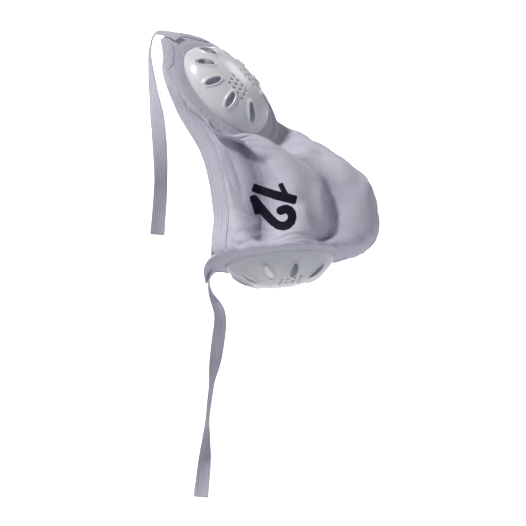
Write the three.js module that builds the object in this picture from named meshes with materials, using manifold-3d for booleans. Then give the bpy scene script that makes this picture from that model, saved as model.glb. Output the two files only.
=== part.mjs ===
import * as THREE from "three";
import { mergeVertices } from "three/addons/utils/BufferGeometryUtils.js";
import Module from "manifold-3d";

// A cloth bonnet for water polo, hanging from one ear guard. It is laid out as it hangs:
// +X runs from the face opening to the crown, -Y faces the viewer and +Z is up.
// The wearer's front is towards the viewer, one ear is at the top and the other at the bottom.
// The origin is where a cord carries the cap, in the slot at the jaw end of the upper ear guard.
// All lengths are millimetres and all angles are degrees.

const wasm = await Module();
wasm.setup();

// Ear guards: moulded oval domes with a flange behind the cloth.
const guardLength = 102;
const guardWidth = 78;
const guardDome = 25;
const guardWall = 1.8;
const domeRoundness = 2.5;
const flangeWidth = 6;
const flangeThickness = 1.4;
const flangeMargin = 1;
const guardClearance = 0.5;
const slotLength = 17;
const slotWidth = 5;
const hangSlotWidth = 9;
const slotRing = 0.74;
const slotAngles = [30, 72, 108, 144, -144, -108, -72, -30];
const hearingHole = 2.6;
const hearingPitch = 6;
const hearingRowPitch = 4.8;
const hearingSlant = 1.5;
const hearingForward = 7;
const hearingApart = 13;

// Cloth, binding and ties.
const clothThickness = 1.2;
const clothGap = 0.3;
const bindingWidth = 16;
const bindingThickness = 1;
const bindingKeepOff = 1.5;
const tieWidth = 14;
const tieThickness = 1.2;
const upperTieStandOff = 0.1;
const lowerTieStandOff = 0.9;
const tieLength = 220;

// The side panels round the guards: margins from the guard's rim, and the flap under the jaw.
// The radii are those of the cloth's bend past the flange, negative where it bends outwards.
const crownMargin = 12;
const edgeMargin = 20;
const flapLength = 27;
const flapWidth = 18;
const mouthAngle = 146;
const seamRadius = 18;
const crownRadius = -14.3;
const upperFlapRadius = 24;
const lowerFlapRadius = -13;

// The hang: where the lower guard lies from the upper one, how far the crown stands out in
// front of the upper guard, how far the face opening lies behind it, and half the bag's depth.
const guardDrop = 158;
const guardShift = 52;
const guardSetBack = 2;
const crownReach = 146;
const mouthReach = 42;
const bagDepth = 44;
const upperTilt = 48;
const upperRoll = 36;
const lowerTilt = -6;
const lowerRoll = -12;

// Sections of the centre panel between the two seams, each an oval arc from the face opening
// round the crown. share: place between the seams. crownX, mouthX: the arc's ends from the
// upper guard, as shares of crownReach and mouthReach. crownZ, mouthZ: the drop of those ends
// as shares of guardDrop. y and depth: middle and half size, as shares of bagDepth. roll: front
// edge down. spread: how far the cloth is drawn from the free edges towards the crown.
const sections = [
  { share: 0.25, mouthX: -1.0, mouthZ: 0.06, crownX: 0.62, crownZ: 0.33, y: -0.08, depth: 1.0, roll: 18, spread: 0.42 },
  { share: 0.5, mouthX: -0.45, mouthZ: 0.38, crownX: 0.94, crownZ: 0.54, y: -0.08, depth: 1.03, roll: 5, spread: 0.36 },
  { share: 0.76, mouthX: -0.22, mouthZ: 0.73, crownX: 0.99, crownZ: 0.87, y: -0.06, depth: 1.04, roll: -6, spread: 0.25 },
];

// Soft folds pressed into the centre panel. s runs from the upper seam to the lower one and
// t from the front edge over the crown to the neck edge. width is a share of each, and
// height is a share of bagDepth, positive outwards.
const folds = [
  { s0: 0.06, t0: 0.26, s1: 0.97, t1: 0.15, width: 0.038, height: -0.15 },
  { s0: 0.1, t0: 0.33, s1: 0.9, t1: 0.24, width: 0.05, height: 0.05 },
  { s0: 0.05, t0: 0.41, s1: 0.95, t1: 0.31, width: 0.04, height: -0.13 },
  { s0: 0.25, t0: 0.48, s1: 0.85, t1: 0.4, width: 0.035, height: 0.07 },
  { s0: 0.45, t0: 0.54, s1: 0.85, t1: 0.49, width: 0.04, height: -0.1 },
  { s0: 0.1, t0: 0.66, s1: 0.9, t1: 0.7, width: 0.045, height: -0.12 },
  { s0: 0.2, t0: 0.82, s1: 0.85, t1: 0.86, width: 0.04, height: 0.07 },
];

// Mesh resolution.
const centreRows = 20;
const rowColumns = 28;
const edgeColumns = 4;
const seamColumns = 24;
const guardSides = 24;
const tieSteps = 24;
const probe = 0.2;
const leafStep = 0.25;

const radians = THREE.MathUtils.degToRad;
const smooth = THREE.MathUtils.smoothstep;
const mix = THREE.MathUtils.lerp;
const at = (x, y, z) => new THREE.Vector3(x, y, z);

// A tilted frame: long points to the crown, short to the front edge and up is the plane's normal.
function tiltedFrame(centre, tilt, roll) {
  const long = at(Math.cos(radians(tilt)), 0, -Math.sin(radians(tilt)));
  const lift = at(Math.sin(radians(tilt)), 0, Math.cos(radians(tilt)));
  const viewer = at(0, -1, 0);
  const short = viewer
    .clone()
    .multiplyScalar(Math.cos(radians(roll)))
    .addScaledVector(lift, -Math.sin(radians(roll)));
  const up = lift.multiplyScalar(Math.cos(radians(roll))).addScaledVector(viewer, Math.sin(radians(roll)));
  return { centre, long, short, up };
}

function inFrame(frame, x, y, z) {
  return frame.centre
    .clone()
    .addScaledVector(frame.long, x)
    .addScaledVector(frame.short, y)
    .addScaledVector(frame.up, z);
}

// Height of the guard's outer dome over its rim, by the distance from its middle (1 at the rim).
const halfLength = guardLength / 2;
const halfWidth = guardWidth / 2;
const domeHeight = (ring) => guardDome * Math.pow(Math.max(0, 1 - Math.pow(ring, domeRoundness)), 0.6);

// The upper guard is placed so that its hanging slot is at the origin.
const hangSlotX = -slotRing * halfLength;
const upperFrame = tiltedFrame(at(0, 0, 0), upperTilt, upperRoll);
upperFrame.centre = inFrame(upperFrame, -hangSlotX, 0, -domeHeight(slotRing));
const lowerCentre = upperFrame.centre.clone().add(at(guardShift, -guardSetBack, -guardDrop));
const lowerFrame = tiltedFrame(lowerCentre, lowerTilt, lowerRoll);

// outward: +1 where the guard's outside is along its frame's up, -1 where it is against it.
const upperSide = {
  frame: upperFrame,
  outward: 1,
  flapRadius: upperFlapRadius,
  tieStandOff: upperTieStandOff,
};
const lowerSide = {
  frame: lowerFrame,
  outward: -1,
  flapRadius: lowerFlapRadius,
  tieStandOff: lowerTieStandOff,
};

// One radial line of a side panel's flat pattern, from the guard's hole to the outline. u runs
// from the flap's front corner up the front edge, round the seam and down the neck edge to the
// flap's other corner. edge is 0 at a corner of the flap and 1 from the seam's end on.
const edgeShare = 0.16;
const cornerAngle = 174;
function panelLine(u) {
  const front = u < 0.5 ? 1 : -1;
  const edge = Math.min(1, Math.min(u, 1 - u) / edgeShare);
  const t = THREE.MathUtils.clamp((u - edgeShare) / (1 - 2 * edgeShare), 0, 1);
  const seamAngle = radians(mouthAngle) * (1 - 2 * t);
  const grow = mix(crownMargin, edgeMargin, (1 - 2 * t) ** 2);
  const seamX = (halfLength + grow) * Math.cos(seamAngle);
  const seamY = (halfWidth + grow) * Math.sin(seamAngle);
  const angle = edge < 1 ? front * radians(mix(cornerAngle, mouthAngle, edge)) : seamAngle;
  return {
    edge,
    bend: mix(1 / seamRadius, 1 / crownRadius, smooth(Math.cos(seamAngle), 0.5, 1)),
    holeX: (halfLength + guardClearance) * Math.cos(angle),
    holeY: (halfWidth + guardClearance) * Math.sin(angle),
    x: mix(-halfLength - flapLength, seamX, edge),
    y: mix((front * flapWidth) / 2, seamY, edge),
  };
}

// The line down the middle of the flap, between its two corners.
const flapLine = {
  edge: 0,
  bend: 1 / seamRadius,
  holeX: -halfLength - guardClearance,
  holeY: 0,
  x: -halfLength - flapLength,
  y: 0,
};

// A point of a side panel at a distance from the guard's hole along one line of its pattern.
// The cloth lies flat over the flange and bends past it.
const flat = flangeWidth + flangeMargin;
function panelPoint(side, line, distance) {
  const length = lineLength(line);
  const bend = mix(1 / side.flapRadius, line.bend, smooth(line.edge, 0, 1));
  const beyond = Math.max(0, distance - flat);
  const chord = Math.abs(bend * beyond) < 1e-6 ? beyond : (2 * Math.sin((bend * beyond) / 2)) / bend;
  const reach = Math.min(distance, flat) + chord * Math.cos((bend * beyond) / 2);
  const drop = chord * Math.sin((bend * beyond) / 2);
  const x = line.holeX + ((line.x - line.holeX) * reach) / length;
  const y = line.holeY + ((line.y - line.holeY) * reach) / length;
  return inFrame(side.frame, x, y, -side.outward * drop);
}

function lineLength(line) {
  return Math.hypot(line.x - line.holeX, line.y - line.holeY);
}

function panelNormal(side, u, distance) {
  const step = 0.004;
  const alongU = panelPoint(side, panelLine(Math.min(1, u + step)), distance).sub(
    panelPoint(side, panelLine(Math.max(0, u - step)), distance),
  );
  const outwards = panelPoint(side, panelLine(u), distance + probe).sub(
    panelPoint(side, panelLine(u), distance - probe),
  );
  return outwards.cross(alongU).multiplyScalar(side.outward).normalize();
}

// The seam of a side panel at t, and the way the centre panel leaves it: level with the side
// panel there and heading for the next section, but never back along the seam.
const leastLeaving = 0.45;
function seam(side, t, next) {
  const uAt = (share) => edgeShare + (1 - 2 * edgeShare) * THREE.MathUtils.clamp(share, 0, 1);
  const onSeam = (u) => panelPoint(side, panelLine(u), lineLength(panelLine(u)));
  const point = onSeam(uAt(t));
  const along = onSeam(uAt(t + 0.005)).sub(onSeam(uAt(t - 0.005))).normalize();
  const line = panelLine(uAt(t));
  const away = point.clone().sub(panelPoint(side, line, lineLength(line) - probe));
  away.addScaledVector(along, -away.dot(along)).normalize();
  const level = away.clone().cross(along).normalize();
  const leaving = next.clone().sub(point).projectOnPlane(level).normalize();
  leaving.addScaledVector(away, Math.max(0, leastLeaving - leaving.dot(away))).normalize();
  return { point, leaving };
}

// A point of one section of the centre panel.
function sectionPoint(row, t) {
  const mouth = at(row.mouthX * mouthReach, row.y * bagDepth, -row.mouthZ * guardDrop);
  const crown = at(row.crownX * crownReach, row.y * bagDepth, -row.crownZ * guardDrop);
  const span = crown.clone().sub(mouth);
  const back = -Math.cos(radians(mouthAngle));
  const reach = span.length() / (1 + back);
  const centre = upperFrame.centre.clone().add(crown).addScaledVector(span.normalize(), -reach);
  const tilt = THREE.MathUtils.radToDeg(Math.atan2(-span.z, span.x));
  const frame = tiltedFrame(centre, tilt, row.roll);
  const way = 1 - 2 * t;
  const angle = radians(mouthAngle) * way * (1 + row.spread * (1 - way * way));
  return inFrame(frame, reach * Math.cos(angle), row.depth * bagDepth * Math.sin(angle), 0);
}

// The smooth centre panel: a cubic in s through the seams and sections.
function smoothCentre(s, t) {
  const between = sections.map((row) => ({ share: row.share, point: sectionPoint(row, t) }));
  const upper = seam(upperSide, t, between[0].point);
  const lower = seam(lowerSide, t, between[between.length - 1].point);
  const knots = [
    { share: 0, point: upper.point },
    ...between,
    { share: 1, point: lower.point },
  ];
  const last = knots.length - 1;
  const slope = (i) => {
    const before = knots[Math.max(0, i - 1)];
    const after = knots[Math.min(last, i + 1)];
    const chord = after.point.clone().sub(before.point).divideScalar(after.share - before.share);
    if (i === 0) return upper.leaving.clone().multiplyScalar(chord.length());
    if (i === last) return lower.leaving.clone().multiplyScalar(-chord.length());
    return chord;
  };
  let i = 0;
  while (i < last - 1 && s > knots[i + 1].share) i += 1;
  const [a, b] = [knots[i], knots[i + 1]];
  const span = b.share - a.share;
  const u = (s - a.share) / span;
  const [u2, u3] = [u * u, u * u * u];
  return a.point
    .clone()
    .multiplyScalar(2 * u3 - 3 * u2 + 1)
    .addScaledVector(slope(i), (u3 - 2 * u2 + u) * span)
    .addScaledVector(b.point, 3 * u2 - 2 * u3)
    .addScaledVector(slope(i + 1), (u3 - u2) * span);
}

function centreNormal(surface, s, t) {
  const step = 0.004;
  const clamp = (share) => THREE.MathUtils.clamp(share, 0, 1);
  const alongS = surface(clamp(s + step), t).sub(surface(clamp(s - step), t));
  const alongT = surface(s, clamp(t + step)).sub(surface(s, clamp(t - step)));
  return alongS.cross(alongT).normalize();
}

function foldHeight(s, t) {
  let height = 0;
  for (const fold of folds) {
    const [ds, dt] = [fold.s1 - fold.s0, fold.t1 - fold.t0];
    const along = THREE.MathUtils.clamp(((s - fold.s0) * ds + (t - fold.t0) * dt) / (ds * ds + dt * dt), 0, 1);
    const away = Math.hypot((s - fold.s0 - along * ds) * 0.5, t - fold.t0 - along * dt) / fold.width;
    height += fold.height * bagDepth * Math.exp(-away * away);
  }
  return height * smooth(s, 0, 0.16) * smooth(1 - s, 0, 0.16);
}

function centrePoint(s, t) {
  return smoothCentre(s, t).addScaledVector(centreNormal(smoothCentre, s, t), foldHeight(s, t));
}

// A closed solid through rings of equal length. Its ends are closed as a strip or a fan, or its
// last ring joins its first where it goes all the way round.
function loftSolid(rings, ends) {
  const size = rings[0].length;
  const positions = rings.flat().flatMap((p) => [p.x, p.y, p.z]);
  const index = [];
  for (let r = 0; r < rings.length - (ends === "round" ? 0 : 1); r += 1) {
    const [near, far] = [r * size, ((r + 1) % rings.length) * size];
    for (let i = 0; i < size; i += 1) {
      const next = (i + 1) % size;
      index.push(near + i, far + i, near + next, near + next, far + i, far + next);
    }
  }
  const close = (base, first) => {
    if (ends === "fan") {
      for (let i = 1; i + 1 < size; i += 1) {
        index.push(...(first ? [base, base + i, base + i + 1] : [base, base + i + 1, base + i]));
      }
      return;
    }
    for (let i = 0; i + 1 < size / 2; i += 1) {
      const [a, b, c, d] = [base + i, base + i + 1, base + size - 2 - i, base + size - 1 - i];
      index.push(...(first ? [a, b, c, a, c, d] : [a, c, b, a, d, c]));
    }
  };
  if (ends !== "round") {
    close(0, true);
    close((rings.length - 1) * size, false);
  }
  const geometry = new THREE.BufferGeometry();
  geometry.setAttribute("position", new THREE.Float32BufferAttribute(positions, 3));
  geometry.setIndex(index);
  return geometry;
}

function toManifold(geometry) {
  const bare = new THREE.BufferGeometry();
  bare.setAttribute("position", geometry.getAttribute("position"));
  if (geometry.index) bare.setIndex(geometry.index);
  const merged = mergeVertices(bare, 1e-4);
  return new wasm.Manifold(
    new wasm.Mesh({
      numProp: 3,
      vertProperties: merged.attributes.position.array,
      triVerts: new Uint32Array(merged.index.array),
    }),
  );
}

function toGeometry(solid) {
  const mesh = solid.getMesh();
  const geometry = new THREE.BufferGeometry();
  geometry.setAttribute("position", new THREE.BufferAttribute(mesh.vertProperties, 3));
  geometry.setIndex(new THREE.BufferAttribute(mesh.triVerts, 1));
  return geometry;
}

const spaced = (from, to, count) => Array.from({ length: count + 1 }, (_, i) => mix(from, to, i / count));

// The free edges as fine lines of points, to measure the binding's width from.
const finely = 60;
function freeEdge(fromNeck) {
  const points = [];
  for (const side of [upperSide, lowerSide]) {
    for (const u of spaced(0, edgeShare, finely / 4)) {
      const line = panelLine(fromNeck ? 1 - u : u);
      points.push(panelPoint(side, line, lineLength(line)));
    }
  }
  for (const s of spaced(0, 1, finely)) points.push(centrePoint(s, fromNeck ? 1 : 0));
  return points;
}
const frontEdge = freeEdge(false);
const neckEdge = freeEdge(true);
const distanceTo = (edge, point) => Math.min(...edge.map((p) => p.distanceTo(point)));

// A row of the centre panel: points with their outward normals at the edges, at the binding's
// inner edges and evenly between.
function centreRow(s) {
  const step = 0.006;
  let [front, neck] = [step, 1 - step];
  while (distanceTo(frontEdge, centrePoint(s, front)) < bindingWidth) front += step;
  while (distanceTo(neckEdge, centrePoint(s, neck)) < bindingWidth) neck -= step;
  const shares = [0, front / 2, ...spaced(front, neck, rowColumns), (1 + neck) / 2, 1];
  return shares.map((t) => ({ point: centrePoint(s, t), normal: centreNormal(centrePoint, s, t) }));
}

// A column of a side panel: points with normals from the hole to the outline, by way of the
// flange's edge and the binding's inner edge.
function panelColumn(side, u) {
  const line = panelLine(u);
  const length = lineLength(line);
  const edge = u < 0.5 ? frontEdge : neckEdge;
  let leaf = length;
  while (leaf > flat + bindingKeepOff && distanceTo(edge, panelPoint(side, line, leaf)) < bindingWidth) {
    leaf -= leafStep;
  }
  leaf = Math.min(leaf, mix(flat, length, 0.5));
  return [0, flat, leaf, mix(leaf, length, 0.5), length].map((distance) => ({
    point: panelPoint(side, line, distance),
    normal: panelNormal(side, u, distance),
  }));
}

const seamGapShare = clothGap / 2 / (guardDrop * 0.7);
const centreRowList = spaced(seamGapShare, 1 - seamGapShare, centreRows).map(centreRow);

function panelColumns(side) {
  const shares = [
    ...spaced(0, edgeShare, edgeColumns).slice(0, -1),
    ...spaced(edgeShare, 1 - edgeShare, seamColumns).slice(0, -1),
    ...spaced(1 - edgeShare, 1, edgeColumns),
  ];
  return shares.map((u) => panelColumn(side, u));
}
const upperColumns = panelColumns(upperSide);
const lowerColumns = panelColumns(lowerSide);

// A layer of cloth through rows of points, each row closed back along its inner side. grow
// thickens it and spreads it at both ends of each row.
function layerRing(row, grow) {
  const half = clothThickness / 2 + grow;
  const spread = row.map((c, i) => {
    const neighbour = row[i === 0 ? 1 : row.length - 2];
    if (i > 0 && i < row.length - 1) return c;
    const out = c.point.clone().sub(neighbour.point).projectOnPlane(c.normal).normalize();
    return { point: c.point.clone().addScaledVector(out, grow), normal: c.normal };
  });
  return [
    ...spread.map((c) => c.point.clone().addScaledVector(c.normal, half)),
    ...spread.map((c) => c.point.clone().addScaledVector(c.normal, -half)).reverse(),
  ];
}

function centreLayer(grow) {
  return toManifold(loftSolid(centreRowList.map((row) => layerRing(row, grow)), "strip"));
}

// A side panel's layer goes all the way round its guard, with one more column down the middle
// of the flap. The seam's half gap is taken off the outline.
function panelLayer(side, columns, grow) {
  const half = clothThickness / 2 + grow;
  const middle = columns[0].map((corner, i) => {
    const other = columns[columns.length - 1][i];
    return {
      point: corner.point.clone().add(other.point).multiplyScalar(0.5),
      normal: corner.normal.clone().add(other.normal).normalize(),
    };
  });
  const rings = [...columns, middle].map((row) => {
    const [inner, last] = row.slice(-2);
    const out = last.point.clone().sub(inner.point).projectOnPlane(last.normal).normalize();
    const point = last.point.clone().addScaledVector(out, grow - clothGap / 2);
    const trimmed = [...row.slice(0, -1), { point, normal: last.normal }];
    return [
      ...trimmed.map((c) => c.point.clone().addScaledVector(c.normal, half)),
      ...trimmed.map((c) => c.point.clone().addScaledVector(c.normal, -half)).reverse(),
    ];
  });
  if (side.outward > 0) rings.reverse();
  return toManifold(loftSolid(rings, "round"));
}

// Turns a guard made round the Z axis to its place, dome outwards.
function frameMatrix(side) {
  const { centre, long, short, up } = side.frame;
  const outward = up.clone().multiplyScalar(side.outward);
  const across = outward.clone().cross(long);
  return new THREE.Matrix4().makeBasis(long, across, outward).setPosition(centre);
}

// The binding folds over a free edge: one leaf outside, one inside, joined past the edge. It is
// built as a full strip from flap to flap and the cloth with its gap is taken out of it.
function bindingSolid(fromNeck) {
  const far = clothThickness / 2 + clothGap + bindingThickness;
  const fromPanel = (columns) => {
    const part = columns.slice(0, edgeColumns + 1);
    const list = fromNeck ? columns.slice(-edgeColumns - 1).reverse() : part;
    return list.map((row) => [row[2], row[3], row[4]]);
  };
  const fromCentre = centreRowList.map((row) => (fromNeck ? row.slice(-3) : row.slice(0, 3).reverse()));
  const stations = [...fromPanel(upperColumns), ...fromCentre, ...fromPanel(lowerColumns).reverse()];
  const rings = stations.map(([leaf, middle, edge]) => {
    const past = edge.point.clone().sub(middle.point).projectOnPlane(edge.normal).normalize();
    const place = (column, height, out = 0) =>
      column.point.clone().addScaledVector(column.normal, height).addScaledVector(past, out);
    const bow = clothGap + bindingThickness;
    const ring = [
      place(leaf, far),
      place(middle, far),
      place(edge, far),
      place(edge, far * 0.5, bow),
      place(edge, -far * 0.5, bow),
      place(edge, -far),
      place(middle, -far),
      place(leaf, -far),
    ];
    return fromNeck ? ring : ring.reverse();
  });
  return loftSolid(rings, "strip");
}

// A guard: dome, flange and inner wall as rings round its axis, then pierced.
function guardBlank() {
  const flangeTop = -clothThickness / 2 - clothGap;
  const oval = (ring, grow, z) =>
    Array.from({ length: guardSides }, (_, i) => {
      const angle = (2 * Math.PI * i) / guardSides;
      return at(
        ring * (halfLength + grow) * Math.cos(angle),
        ring * (halfWidth + grow) * Math.sin(angle),
        z,
      );
    });
  const steps = [0.2, 0.5, 0.75, 0.92, 1];
  const outer = steps.map((ring) => oval(ring, 0, domeHeight(ring)));
  const inner = steps.map((ring) => oval(ring, -guardWall, domeHeight(ring) - guardWall)).reverse();
  inner[0] = oval(1, -guardWall, flangeTop - flangeThickness);
  const rings = [
    ...outer,
    oval(1, 0, flangeTop),
    oval(1, flangeWidth, flangeTop),
    oval(1, flangeWidth, flangeTop - flangeThickness),
    ...inner,
  ];
  return toManifold(loftSolid(rings, "fan"));
}

// A cutter with round ends, stood along the dome's own normal at a point of the dome.
function slotCutter(length, width, angle, ring) {
  const half = (length - width) / 2;
  const shape = new THREE.Shape();
  shape.absarc(half, 0, width / 2, -Math.PI / 2, Math.PI / 2, false);
  shape.absarc(-half, 0, width / 2, Math.PI / 2, (3 * Math.PI) / 2, false);
  const depth = guardWall * 8;
  const cutter = new THREE.ExtrudeGeometry(shape, { depth, bevelEnabled: false, curveSegments: 2 });
  cutter.translate(0, 0, -depth / 2);
  const spot = (r) => at(r * halfLength * Math.cos(angle), r * halfWidth * Math.sin(angle), domeHeight(r));
  const step = 0.02;
  const radial = spot(ring + step).sub(spot(ring - step)).normalize();
  const around = at(-halfLength * Math.sin(angle), halfWidth * Math.cos(angle), 0).normalize();
  const normal = radial.clone().cross(around).normalize();
  const across = normal.clone().cross(radial);
  cutter.applyMatrix4(new THREE.Matrix4().makeBasis(radial, across, normal).setPosition(spot(ring)));
  return toManifold(cutter);
}

// Slots round the dome: one wide slot at the jaw end and narrower ones round the rest.
function slotCutters() {
  const cutters = [slotCutter(slotLength, hangSlotWidth, Math.PI, slotRing)];
  for (const degrees of slotAngles) {
    cutters.push(slotCutter(slotLength, slotWidth, radians(degrees), slotRing));
  }
  return cutters;
}

// Two fields of small hearing holes, three rows of four each, either side of the middle.
function hearingCutters() {
  const cutters = [];
  for (const field of [-1, 1]) {
    for (let row = -1; row <= 1; row += 1) {
      for (let column = -1.5; column <= 1.5; column += 1) {
        const hole = new THREE.CylinderGeometry(hearingHole / 2, hearingHole / 2, guardDome, 6);
        hole.rotateX(Math.PI / 2);
        hole.translate(
          hearingForward + column * hearingPitch + row * hearingSlant,
          field * (hearingApart + row * hearingRowPitch),
          guardDome,
        );
        cutters.push(toManifold(hole));
      }
    }
  }
  return cutters;
}

function earGuard(side) {
  let guard = guardBlank();
  for (const cutter of [...slotCutters(), ...hearingCutters()]) guard = guard.subtract(cutter);
  return toGeometry(guard).applyMatrix4(frameMatrix(side));
}

// A tie: flat tape along a smooth line. face is the way its flat side looks at each station.
function tapeSolid(stations) {
  const line = new THREE.CatmullRomCurve3(stations.map((row) => row.point), false, "centripetal");
  const faces = new THREE.CatmullRomCurve3(stations.map((row) => row.face), false, "centripetal");
  const rings = [];
  for (let i = 0; i <= tieSteps; i += 1) {
    const u = i / tieSteps;
    const [point, along] = [line.getPoint(u), line.getTangent(u)];
    const face = faces.getPoint(u).projectOnPlane(along).normalize();
    const across = along.clone().cross(face).normalize();
    const corner = (w, h) =>
      point.clone().addScaledVector(across, (w * tieWidth) / 2).addScaledVector(face, (h * tieThickness) / 2);
    rings.push([corner(-1, -1), corner(1, -1), corner(1, 1), corner(-1, 1)]);
  }
  return loftSolid(rings, "strip");
}

// A tie lies on the outside of the flap, runs off its end and hangs. The hanging rows are
// shares of the tie's length from the flap's end, with the turn of the tape's face about the
// vertical, 0 towards the viewer, and how far the face leans up.
function tieStations(side, hang) {
  const lift = clothThickness / 2 + clothGap + bindingThickness + side.tieStandOff + tieThickness / 2;
  const length = lineLength(flapLine);
  const onFlap = (distance) => {
    const point = panelPoint(side, flapLine, distance);
    const along = panelPoint(side, flapLine, distance + probe).sub(point);
    const face = along.cross(side.frame.short).multiplyScalar(-side.outward).normalize();
    if (face.dot(side.frame.up) * side.outward < 0) face.negate();
    return { point: point.addScaledVector(face, lift), face };
  };
  const end = onFlap(length + clothGap);
  return [
    onFlap(length * 0.5),
    onFlap(length * 0.75),
    end,
    ...hang.map((row) => ({
      point: end.point.clone().add(at(row.x, row.y, row.z).multiplyScalar(tieLength)),
      face: at(Math.sin(radians(row.turn)), -Math.cos(radians(row.turn)), row.lean),
    })),
  ];
}

const upperHang = [
  { x: -0.04, y: 0.004, z: 0.0, turn: -70, lean: 0.9 },
  { x: -0.062, y: 0.012, z: -0.06, turn: -82, lean: 0.1 },
  { x: -0.055, y: 0.025, z: -0.2, turn: -60, lean: 0 },
  { x: -0.03, y: 0.02, z: -0.4, turn: -10, lean: 0 },
  { x: -0.02, y: 0.02, z: -0.62, turn: 25, lean: 0 },
  { x: -0.035, y: 0.02, z: -0.86, turn: 15, lean: 0 },
];
const lowerHang = [
  { x: 0.006, y: -0.005, z: -0.05, turn: 75, lean: 0 },
  { x: 0.045, y: -0.015, z: -0.14, turn: 40, lean: 0 },
  { x: 0.035, y: -0.01, z: -0.28, turn: 25, lean: 0 },
  { x: 0.01, y: 0.0, z: -0.44, turn: 70, lean: 0 },
  { x: -0.01, y: 0.01, z: -0.6, turn: 75, lean: 0 },
  { x: -0.02, y: 0.01, z: -0.76, turn: 30, lean: 0 },
  { x: -0.035, y: 0.0, z: -0.92, turn: 5, lean: 0 },
];

const cloth = new THREE.MeshStandardMaterial({ color: 0xe6e6ec, roughness: 0.9, metalness: 0 });
const tape = new THREE.MeshStandardMaterial({ color: 0xdcdce4, roughness: 0.95, metalness: 0 });
const plastic = new THREE.MeshStandardMaterial({ color: 0xe9ebee, roughness: 0.35, metalness: 0 });

const cap = new THREE.Group();
function add(name, geometry, material) {
  const mesh = new THREE.Mesh(geometry, material);
  mesh.name = name;
  mesh.geometry.computeVertexNormals();
  cap.add(mesh);
}

const layers = (grow) => [
  centreLayer(grow),
  panelLayer(upperSide, upperColumns, grow),
  panelLayer(lowerSide, lowerColumns, grow),
];

// The centre panel gives way where it folds back against a side panel at a seam.
const [centreWhole, upperCloth, lowerCloth] = layers(0);
const [, upperClear, lowerClear] = layers(clothGap / 2);
const centreCloth = centreWhole.subtract(upperClear).subtract(lowerClear);
const bindingRoom = [...layers(clothGap), centreCloth];
const binding = (fromNeck) =>
  toGeometry(bindingRoom.reduce((solid, layer) => solid.subtract(layer), toManifold(bindingSolid(fromNeck))));

add("centre_panel", toGeometry(centreCloth), cloth);
add("upper_side_panel", toGeometry(upperCloth), cloth);
add("lower_side_panel", toGeometry(lowerCloth), cloth);
add("upper_ear_guard", earGuard(upperSide), plastic);
add("lower_ear_guard", earGuard(lowerSide), plastic);
add("front_binding", binding(false), tape);
add("neck_binding", binding(true), tape);
add("upper_tie_tape", tapeSolid(tieStations(upperSide, upperHang)), tape);
add("lower_tie_tape", tapeSolid(tieStations(lowerSide, lowerHang)), tape);

export default cap;
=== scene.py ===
import math

import bmesh
import bpy
import numpy as np
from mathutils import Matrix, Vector, geometry


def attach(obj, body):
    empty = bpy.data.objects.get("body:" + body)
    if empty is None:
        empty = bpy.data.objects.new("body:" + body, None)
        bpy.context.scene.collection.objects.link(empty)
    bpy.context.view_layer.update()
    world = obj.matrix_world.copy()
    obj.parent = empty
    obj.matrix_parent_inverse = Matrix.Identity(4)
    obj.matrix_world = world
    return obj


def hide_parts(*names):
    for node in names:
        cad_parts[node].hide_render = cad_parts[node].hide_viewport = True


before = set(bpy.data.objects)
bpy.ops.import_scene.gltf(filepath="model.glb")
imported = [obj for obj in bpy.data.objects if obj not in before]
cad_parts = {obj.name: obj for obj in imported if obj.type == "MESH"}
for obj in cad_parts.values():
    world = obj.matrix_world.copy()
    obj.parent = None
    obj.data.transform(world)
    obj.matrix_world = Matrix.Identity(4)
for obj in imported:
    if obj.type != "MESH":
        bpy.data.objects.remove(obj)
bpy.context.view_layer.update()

print("cap: frame loaded,", len(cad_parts), "solids")

# A knitted water polo cap with two moulded ear guards, hung from the upper guard to dry.
# The cut, in millimetres and degrees, is the one that the solids were built from.
cut = {
    "guardLength": 102, "guardWidth": 78, "guardDome": 25, "domeRoundness": 2.5,
    "flangeWidth": 6, "flangeMargin": 1, "guardClearance": 0.5, "slotRing": 0.74,
    "crownMargin": 12, "edgeMargin": 20, "flapLength": 27, "flapWidth": 18,
    "mouthAngle": 146, "cornerAngle": 174, "edgeShare": 0.16,
    "seamRadius": 18, "crownRadius": -14.3, "upperFlapRadius": 24, "lowerFlapRadius": -13,
    "guardDrop": 158, "guardShift": 52, "guardSetBack": 2,
    "crownReach": 146, "mouthReach": 42, "bagDepth": 44,
    "upperTilt": 48, "upperRoll": 36, "lowerTilt": -6, "lowerRoll": -12,
    "leastLeaving": 0.45, "bindingWidth": 16, "seamGap": 0.15,
}
# Sections of the centre panel: share of the way between the seams, then the arc's two ends.
sections = [
    {"share": 0.25, "mouthX": -1.0, "mouthZ": 0.06, "crownX": 0.62, "crownZ": 0.33,
     "y": -0.08, "depth": 1.0, "roll": 18, "spread": 0.42},
    {"share": 0.5, "mouthX": -0.45, "mouthZ": 0.38, "crownX": 0.94, "crownZ": 0.54,
     "y": -0.08, "depth": 1.03, "roll": 5, "spread": 0.36},
    {"share": 0.76, "mouthX": -0.22, "mouthZ": 0.73, "crownX": 0.99, "crownZ": 0.87,
     "y": -0.06, "depth": 1.04, "roll": -6, "spread": 0.25},
]
# Folds pressed into the centre panel: s0, t0, s1, t1, width and height, as the solid has them,
# then how much further the limp knit drops, and how sharp its crease is.
folds = [
    (0.06, 0.26, 0.97, 0.15, 0.038, -0.15, 1.9, 0.6),
    (0.10, 0.33, 0.90, 0.24, 0.050, 0.05, 1.2, 1.5),
    (0.05, 0.41, 0.95, 0.31, 0.040, -0.13, 1.2, 0.6),
    (0.25, 0.48, 0.85, 0.40, 0.035, 0.07, 0.4, 0.0),
    (0.45, 0.54, 0.85, 0.49, 0.040, -0.10, 0.5, 0.0),
    (0.10, 0.66, 0.90, 0.70, 0.045, -0.12, 0.6, 0.0),
    (0.20, 0.82, 0.85, 0.86, 0.040, 0.07, 0.9, 0.0),
]


def mix(a, b, share):
    return a + (b - a) * share


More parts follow.
